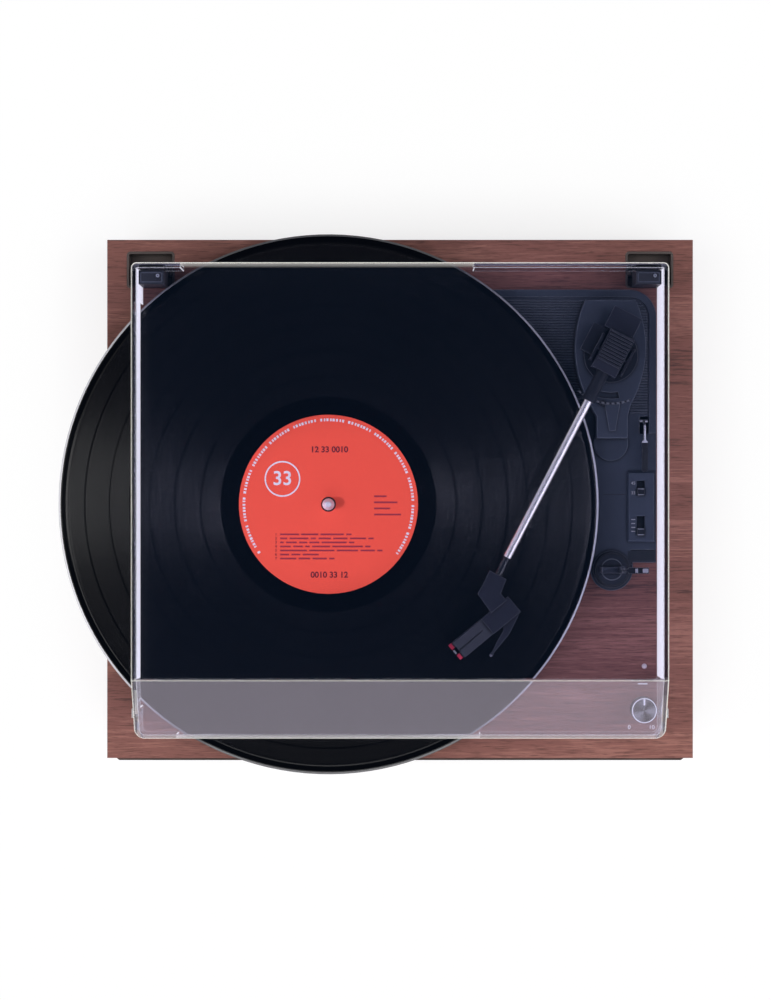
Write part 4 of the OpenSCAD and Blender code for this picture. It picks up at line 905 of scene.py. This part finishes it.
class PLAYER_OT_tone_arm(bpy.types.Operator):
    """Dress the tone arm, its bearings and the cartridge"""

    bl_idname = "player.tone_arm"
    bl_label = "Tone Arm"

    def execute(self, context):
        look = context.scene.player_plastic
        black = plastic("arm_plastic", tuple(look.black), 0.42, look.edge, edge_highlight=0.6, gloss=0.22)
        shell = plastic("shell_plastic", tuple(look.shell), 0.45, look.edge, edge_highlight=0.7, gloss=0.22)
        dress(black, "arm_turret", "arm_collar", "lift_platform")
        dress(plastic("ferrule_gloss", tuple(look.black), 0.16, look.edge, gloss=0.8), "arm_ferrule")
        dress(shell, "rear_block", "headshell", "finger_lift")
        dress(plastic("cartridge_plastic", tuple(look.cartridge), 0.4, look.edge), "cartridge")
        tip = farthest("stylus_holder", SHELL_AXIS)
        dress(stylus_red("stylus_red", tuple(look.red), tip), "stylus_holder")
        dress(metal("tube_metal", (1.0, 0.95, 0.93), 0.24), "arm_tube")
        dress(metal("arm_steel", (0.60, 0.61, 0.63), 0.25), "arm_shaft", "stylus")
        turn = math.atan2(SHELL_AXIS.y, SHELL_AXIS.x)
        guard = (tip - SHELL_AXIS * 0.5 * MM, mm(1.0, 2.4, 0.8), turn)
        grey = plastic("guard_plastic", (0.42, 0.42, 0.44), 0.4)
        bar_piece("stylus_guard", (guard,), grey, "arm", "shell_plastic")
        end = Matrix.Translation(farthest("finger_lift", FINGER_AXIS))
        ball = bmesh.new()
        bmesh.ops.create_uvsphere(ball, u_segments=20, v_segments=12, radius=0.95 * MM, matrix=end)
        for face in ball.faces:
            face.smooth = True
        glossy = plastic("finger_tip", (0.16, 0.16, 0.19), 0.25)
        mesh_piece("finger_ball", ball, glossy, "arm")
        self.add_lift_glints()
        return {"FINISHED"}

    @staticmethod
    def add_lift_glints():
        """Adds low, pale bars along the curved top of the lift bar as painted glints."""
        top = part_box("lift_platform")[1].z
        pivot = middle("arm_shaft")
        pivot.z = top
        arc = [c - pivot for c in corners_of("lift_platform") if c.z > top - 0.1 * MM]
        angles = [math.atan2(spoke.y, spoke.x) for spoke in arc]
        reach = [spoke.xy.length for spoke in arc]
        inner, outer = min(reach) + 0.3 * MM, max(reach) - 0.2 * MM
        count = 11
        step = (max(angles) - min(angles)) / count
        starts = [min(angles) + (k + 0.2) * step for k in range(count)]
        painted_glint_ribs = [(pivot, inner, outer, 0.1 * MM, 4, start, 0.55 * step) for start in starts]
        pale = plastic("glint_rib_plastic", (0.17, 0.175, 0.19), 0.35)
        ring_piece("lift_glint_ribs", painted_glint_ribs, pale, "lift", "black_plastic")


class PLAYER_OT_switches(bpy.types.Operator):
    """Dress the switches and the cue lever, and print the speeds"""

    bl_idname = "player.switches"
    bl_label = "Switches"

    def execute(self, context):
        look = context.scene.player_plastic
        black = tuple(look.black)
        dress(plastic("plate_plastic", shade(look.deck, 1.15), 0.5, look.edge), "switch_plate")
        knobs = plastic("switch_plastic", black, 0.35, look.edge)
        dress(knobs, "speed_knob", "stop_knob", "switch_bodies")
        dress(plastic("bracket_plastic", black, 0.45, look.edge), "cue_bracket")
        dress(wire_lever("lever_wire", shade(black, 0.6), WIRE_START), "cue_lever")
        mark = ink("switch_ink", shade(look.mark, 0.45))
        low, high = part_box("switch_plate")
        x, y = low.x + 3.4 * MM, (low.y + high.y) / 2
        for name, text, at in (("speed_33", "33", 7.7), ("speed_45", "45", 13.2)):
            place = Vector((x, y + at * MM, high.z))
            add_digits(name, text, place, 2.4 * MM, MARK_THICKNESS, mark, "chassis", "deck_plastic")
        level = high.z + MARK_THICKNESS / 2
        ticks = [
            (Vector((x, y - (7.2 + 2.2 * k) * MM, level)), (2.2 * MM, 0.5 * MM, MARK_THICKNESS))
            for k in range(4)
        ]
        bar_piece("stop_ticks", ticks, mark, "chassis", "deck_plastic")
        # Painted glints: pale bars along the top edges of the switch knobs stand in for the light they
        # catch.
        painted_glint = plastic("knob_glint_plastic", (0.34, 0.35, 0.38), 0.35)
        for knob, body in (("speed_knob", "speed_switch"), ("stop_knob", "stop_switch")):
            low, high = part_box(knob)
            size = (high.x - low.x - 0.6 * MM, 0.4 * MM, 0.2 * MM)
            sides = (low.y + 0.4 * MM, high.y - 0.4 * MM)
            edges = [(Vector(((low.x + high.x) / 2, side, high.z)), size) for side in sides]
            bar_piece(f"{knob}_edges", edges, painted_glint, body, "black_plastic")
        return {"FINISHED"}


class PLAYER_OT_volume(bpy.types.Operator):
    """Dress the volume knob and the power light, and print the scale"""

    bl_idname = "player.volume"
    bl_label = "Volume"

    def execute(self, context):
        look = context.scene.player_plastic
        # The knob's middle is the centre of its painted sheen.
        knob = turned_metal("knob_metal", (0.11, 0.11, 0.115), 0.34, 0.9, middle("volume_knob"))
        dress(knob, "volume_knob")
        dress(lens_white("light_lens", (0.98, 0.74, 0.72)), "power_light")
        bright = ink("knob_highlight_and_pointer_ink", (0.99, 0.99, 0.99))
        mark = ink("scale_ink", tuple(look.mark))
        low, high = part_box("volume_knob")
        radius = (high.x - low.x) / 2
        top = top_of("volume_knob")
        # Painted highlight: a white ring on the knob's top chamfer; the pointer is printed in the same
        # white.
        trim = (top - mm(0, 0, 0.5), radius - 0.75 * MM, radius - 0.25 * MM, 0.55 * MM)
        ring_piece("knob_highlight_ring", (trim,), bright, "volume", "knob_metal")
        pointer = (top + Vector((0, radius - 2.6 * MM, 0.05 * MM)), mm(1.0, 3.4, 0.1))
        bar_piece("knob_pointer", (pointer,), bright, "volume", "knob_metal")
        spot = Vector((top.x, top.y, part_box("top_panel")[1].z))
        for name, text, x in (("scale_0", "0", -7.5), ("scale_10", "10", 5.2)):
            place = spot + mm(x, -10.3, 0)
            add_digits(name, text, place, 3.4 * MM, MARK_THICKNESS, mark, "chassis", "wood", 0)
        size = (5.5 * MM, 0.7 * MM, MARK_THICKNESS)
        tick = (spot + Vector((0, 14.2 * MM, MARK_THICKNESS / 2)), size)
        bar_piece("scale_tick", (tick,), mark, "chassis", "wood")
        return {"FINISHED"}


class PLAYER_OT_jacks(bpy.types.Operator):
    """Dress the rear sockets and add their coloured collars"""

    bl_idname = "player.jacks"
    bl_label = "Jacks"

    def execute(self, context):
        dress(plastic("jack_plastic", (0.020, 0.021, 0.023), 0.5), "jack_plate", "power_inlet")
        dress(metal("socket_chrome", (0.74, 0.75, 0.77), 0.15), "phono_sockets")
        low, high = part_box("phono_sockets")
        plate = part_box("jack_plate")[1].y
        half = (high.z - low.z) / 2
        reach = half - 1.5 * MM
        colours = {"socket_collar_white": (0.75, 0.75, 0.73), "socket_collar_red": (0.60, 0.03, 0.03)}
        for (name, tone), x in zip(colours.items(), (high.x - half, low.x + half)):
            collar = bmesh.new()
            add_ring(collar, Vector(), reach + 0.05 * MM, reach + 1.4 * MM, 1.2 * MM, 48)
            seat = Matrix.Translation((x, plate, (low.z + high.z) / 2))
            turn = seat @ Matrix.Rotation(-math.pi / 2, 4, "X")
            bmesh.ops.transform(collar, matrix=turn, verts=collar.verts)
            mesh_piece(name, collar, plastic(name, tone, 0.35), "chassis")
        return {"FINISHED"}


class PLAYER_OT_cover(bpy.types.Operator):
    """Dress the clear cover, its hinges and its pads"""

    bl_idname = "player.cover"
    bl_label = "Dust Cover"

    def execute(self, context):
        look = context.scene.player_cover
        low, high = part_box("dust_cover")
        start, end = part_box("record")
        radius, axis = (end.x - start.x) / 2, (start + end) / 2
        rear = high.y - COVER_WALL - axis.y
        span = math.sqrt(radius ** 2 - rear ** 2) + OPENING_CLEARANCE
        dress(acrylic("acrylic", look, low, high, (axis.x - span, axis.x + span)), "dust_cover")
        dress(plastic("hinge_plastic", (0.024, 0.025, 0.030), 0.4), "hinge_lugs")
        dress(plastic("cup_plastic", (0.085, 0.066, 0.060), 0.6, grain=0.12 * MM, rate=900), "hinge_cups")
        dress(rubber("pad_rubber", (0.66, 0.67, 0.70)), "lid_bumpers")
        self.add_lug_trim()
        y, z = low.y + 14.5 * MM, high.z - 18.5 * MM
        sides = (low.x - 0.5 * MM, high.x + 0.5 * MM)
        grips = [(Vector((x, y, z)), mm(1.2, 5.0, 3.0)) for x in sides]
        pale = plastic("grip_plastic", (0.80, 0.78, 0.76), 0.4)
        bar_piece("cover_grips", grips, pale, "lid", "acrylic")
        return {"FINISHED"}

    @staticmethod
    def add_lug_trim():
        """Adds a raised frame, paler than the lug as a painted highlight on its edges, and a rivet on top
        of each hinge lug.
        """
        corners = corners_of("hinge_lugs")
        between = sum(corner.x for corner in corners) / len(corners)
        highlight_ridges, heads = [], []
        for side in (-1, 1):
            half = [corner for corner in corners if (corner.x - between) * side > 0]
            top = max(corner.z for corner in half)
            face = [corner for corner in half if corner.z > top - 0.2 * MM]
            low = Vector((min(c.x for c in face), min(c.y for c in face), top))
            high = Vector((max(c.x for c in face), max(c.y for c in face), top))
            place, size = (low + high) / 2, high - low
            for k in (-1, 1):
                across = place + Vector((0, k * (size.y / 2 - 1.2 * MM), 0))
                highlight_ridges.append((across, (size.x - 2.4 * MM, 0.5 * MM, 0.3 * MM)))
                along = place + Vector((k * (size.x / 2 - 1.2 * MM), 0, 0))
                highlight_ridges.append((along, (0.5 * MM, size.y - 2.0 * MM, 0.3 * MM)))
            head = place + Vector((size.x / 4, size.y / 8, 0))
            heads.append((head, 0.3 * MM, 1.0 * MM, 0.2 * MM, 24))
        grey = plastic("ridge_highlight_plastic", (0.09, 0.10, 0.125), 0.4)
        bar_piece("lug_highlight_ridges", highlight_ridges, grey, "lid", "black_plastic")
        ring_piece("lug_rivets", heads, metal("rivet_steel", (0.62, 0.63, 0.65), 0.3), "lid", "steel")


# Half the floor's side, the reach of the soft shadow round the plinth, and the point that the lamps face
FLOOR_HALF = 6
SHADOW_REACH = 200 * MM
LAMP_TARGET = mm(0, 0, 80)


class PLAYER_OT_stage(bpy.types.Operator):
    """Set the floor, the studio's light and the camera"""

    bl_idname = "player.stage"
    bl_label = "Stage"

    def execute(self, context):
        look = context.scene.player_stage
        self.make_floor(tuple(look.floor))
        self.make_world(tuple(look.zenith))
        self.add_lamp("left_lamp", (-1.6, -0.5, 1.2), 1.6, 1.0, look.side_power * 1.1)
        self.add_lamp("right_lamp", (1.7, -0.3, 1.3), 1.6, 1.0, look.side_power)
        self.add_lamp("high_left_lamp", (-0.85, 0.05, 1.75), 0.35, 0.5, look.high_power)
        self.add_lamp("high_right_lamp", (0.85, 0.05, 1.75), 0.35, 0.5, look.high_power)
        self.add_lamp("front_lamp", (0, -1.0, 0.9), 1.2, 0.5, look.front_power)
        self.add_lamp("low_lamp", (0, -2.2, 0.85), 3.0, 0.6, look.low_power, (0.97, 0.87, 1.0))
        self.add_spot("label_lamp", (-1.1, -0.2, 1.25), middle("record_label"), 56 * MM, look.label_power)
        camera = bpy.data.objects.new("camera", bpy.data.cameras.new("camera"))
        camera.data.sensor_width = 36
        camera.data.lens = look.lens
        camera.data.clip_end = 20
        camera.data.shift_x = -0.014
        camera.location = (look.camera_x, look.camera_y, look.camera_z)
        context.scene.collection.objects.link(camera)
        context.scene.camera = camera
        context.scene.view_settings.view_transform = "Standard"
        return {"FINISHED"}

    @staticmethod
    def make_floor(tone):
        """Lays a pale floor: softly shaded near the plinth and plain white farther out."""
        shape = bmesh.new()
        bmesh.ops.create_grid(shape, x_segments=1, y_segments=1, size=FLOOR_HALF)
        mesh = bpy.data.meshes.new("floor")
        shape.to_mesh(mesh)
        shape.free()
        floor = bpy.data.objects.new("floor", mesh)
        bpy.context.scene.collection.objects.link(floor)
        made = Finish("floor_paper", tone, 0.9, Specular_IOR_Level=0.0)
        path = made.add("LightPath").outputs
        seen = made.math("MAXIMUM", path["Is Camera Ray"], path["Is Glossy Ray"])
        seen = made.math("MAXIMUM", seen, path["Is Transmission Ray"])
        soft = made.add("BsdfDiffuse")
        soft.inputs["Color"].default_value = (0.34, 0.34, 0.34, 1)
        glow = made.add("Emission")
        glow.inputs["Strength"].default_value = 0.70
        bright = made.add("Emission")
        spot = made.axes(made.place())
        squares = []
        for axis, start, end in zip("XY", *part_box("top_panel")):
            off = made.math("ABSOLUTE", made.math("SUBTRACT", spot[axis], (start + end) / 2))
            gap = made.math("MAXIMUM", made.math("SUBTRACT", off, (end - start) / 2), 0)
            squares.append(made.math("POWER", gap, 2))
        far = made.product(made.math("SQRT", made.math("ADD", *squares)), 1 / SHADOW_REACH)
        fade = made.ramp(far, [(0.04, 0.0), (1.0, 1.0), (0.10, 0.25), (0.20, 0.80), (0.30, 0.96)])
        shown = made.blend(fade, made.sum(soft, glow), bright.outputs[0])
        made.blend(seen, made.shader.outputs[0], shown)
        mesh.materials.append(made.material)

    @staticmethod
    def make_world(zenith):
        """Fills the room with light from its sides, and shows the camera plain white."""
        world = bpy.data.worlds.new("studio")
        bpy.context.scene.world = world
        world.use_nodes = True
        made = Nodes(world.node_tree)
        made.tree.nodes.clear()
        sky = made.axes(made.add("TexCoord").outputs["Generated"])
        aside = made.math("ABSOLUTE", sky["X"])
        sides = made.ramp(aside, [(0.28, zenith), (1.0, 1.0), (0.46, 0.26), (0.66, 0.80)])
        horizon = made.ramp(sky["Z"], [(0.0, 0.9), (0.55, 0.0), (0.35, 0.22)])
        room = made.add("Background")
        made.link(made.mix("LIGHTEN", 1.0, sides, horizon), room.inputs["Color"])
        white = made.add("Background")
        white.inputs["Color"].default_value = (1, 1, 1, 1)
        both = made.add("MixShader")
        made.link(made.add("LightPath").outputs["Is Camera Ray"], both.inputs[0])
        made.link(room.outputs[0], both.inputs[1])
        made.link(white.outputs[0], both.inputs[2])
        made.link(both.outputs[0], made.add("OutputWorld").inputs["Surface"])

    @staticmethod
    def hang(data, place, target):
        """Hangs a lamp at a place, facing a target."""
        lamp = bpy.data.objects.new(data.name, data)
        lamp.location = place
        lamp.rotation_euler = (target - Vector(place)).to_track_quat("-Z", "Y").to_euler()
        bpy.context.scene.collection.objects.link(lamp)
        return lamp

    def add_spot(self, name, place, target, reach, watts):
        """Hangs a spot that lights a circle of a given radius."""
        data = bpy.data.lights.new(name, "SPOT")
        data.spot_size = 2 * math.atan(reach / (target - Vector(place)).length)
        data.spot_blend = 0.3
        data.shadow_soft_size = 15 * MM
        data.energy = watts
        self.hang(data, place, target)

    def add_lamp(self, name, place, width, height, watts, tone=(1, 1, 1)):
        """Hangs a soft panel that the camera doesn't see."""
        data = bpy.data.lights.new(name, "AREA")
        data.shape = "RECTANGLE"
        data.size = width
        data.size_y = height
        data.energy = watts
        data.color = tone
        self.hang(data, place, LAMP_TARGET).visible_camera = False


OPERATORS = (
    PLAYER_OT_plinth,
    PLAYER_OT_deck,
    PLAYER_OT_drive,
    PLAYER_OT_record,
    PLAYER_OT_label,
    PLAYER_OT_tone_arm,
    PLAYER_OT_switches,
    PLAYER_OT_volume,
    PLAYER_OT_jacks,
    PLAYER_OT_cover,
    PLAYER_OT_stage,
)


class PLAYER_PT_panel(bpy.types.Panel):
    """Lists the record player's pieces"""

    bl_idname = "PLAYER_PT_panel"
    bl_label = "Record Player"
    bl_space_type = "VIEW_3D"
    bl_region_type = "UI"
    bl_category = "Record Player"

    def draw(self, context):
        for operator in OPERATORS:
            self.layout.operator(operator.bl_idname)
        for setting in SETTINGS:
            group = getattr(context.scene, setting)
            box = self.layout.box()
            for key in group.bl_rna.properties.keys():
                if key not in {"rna_type", "name"}:
                    box.prop(group, key)


SETTINGS = {
    "player_wood": WoodSettings,
    "player_plastic": PlasticSettings,
    "player_record": RecordSettings,
    "player_cover": CoverSettings,
    "player_stage": StageSettings,
}
CLASSES = (*SETTINGS.values(), *OPERATORS, PLAYER_PT_panel)


def register():
    for cls in CLASSES:
        bpy.utils.register_class(cls)
    for name, group in SETTINGS.items():
        setattr(bpy.types.Scene, name, PointerProperty(type=group))


def unregister():
    for name in SETTINGS:
        delattr(bpy.types.Scene, name)
    for cls in reversed(CLASSES):
        bpy.utils.unregister_class(cls)


def main():
    """Registers the add-on and runs its operators."""
    register()
    for operator in OPERATORS:
        group, name = operator.bl_idname.split(".")
        getattr(getattr(bpy.ops, group), name)()


if __name__ == "__main__":
    main()
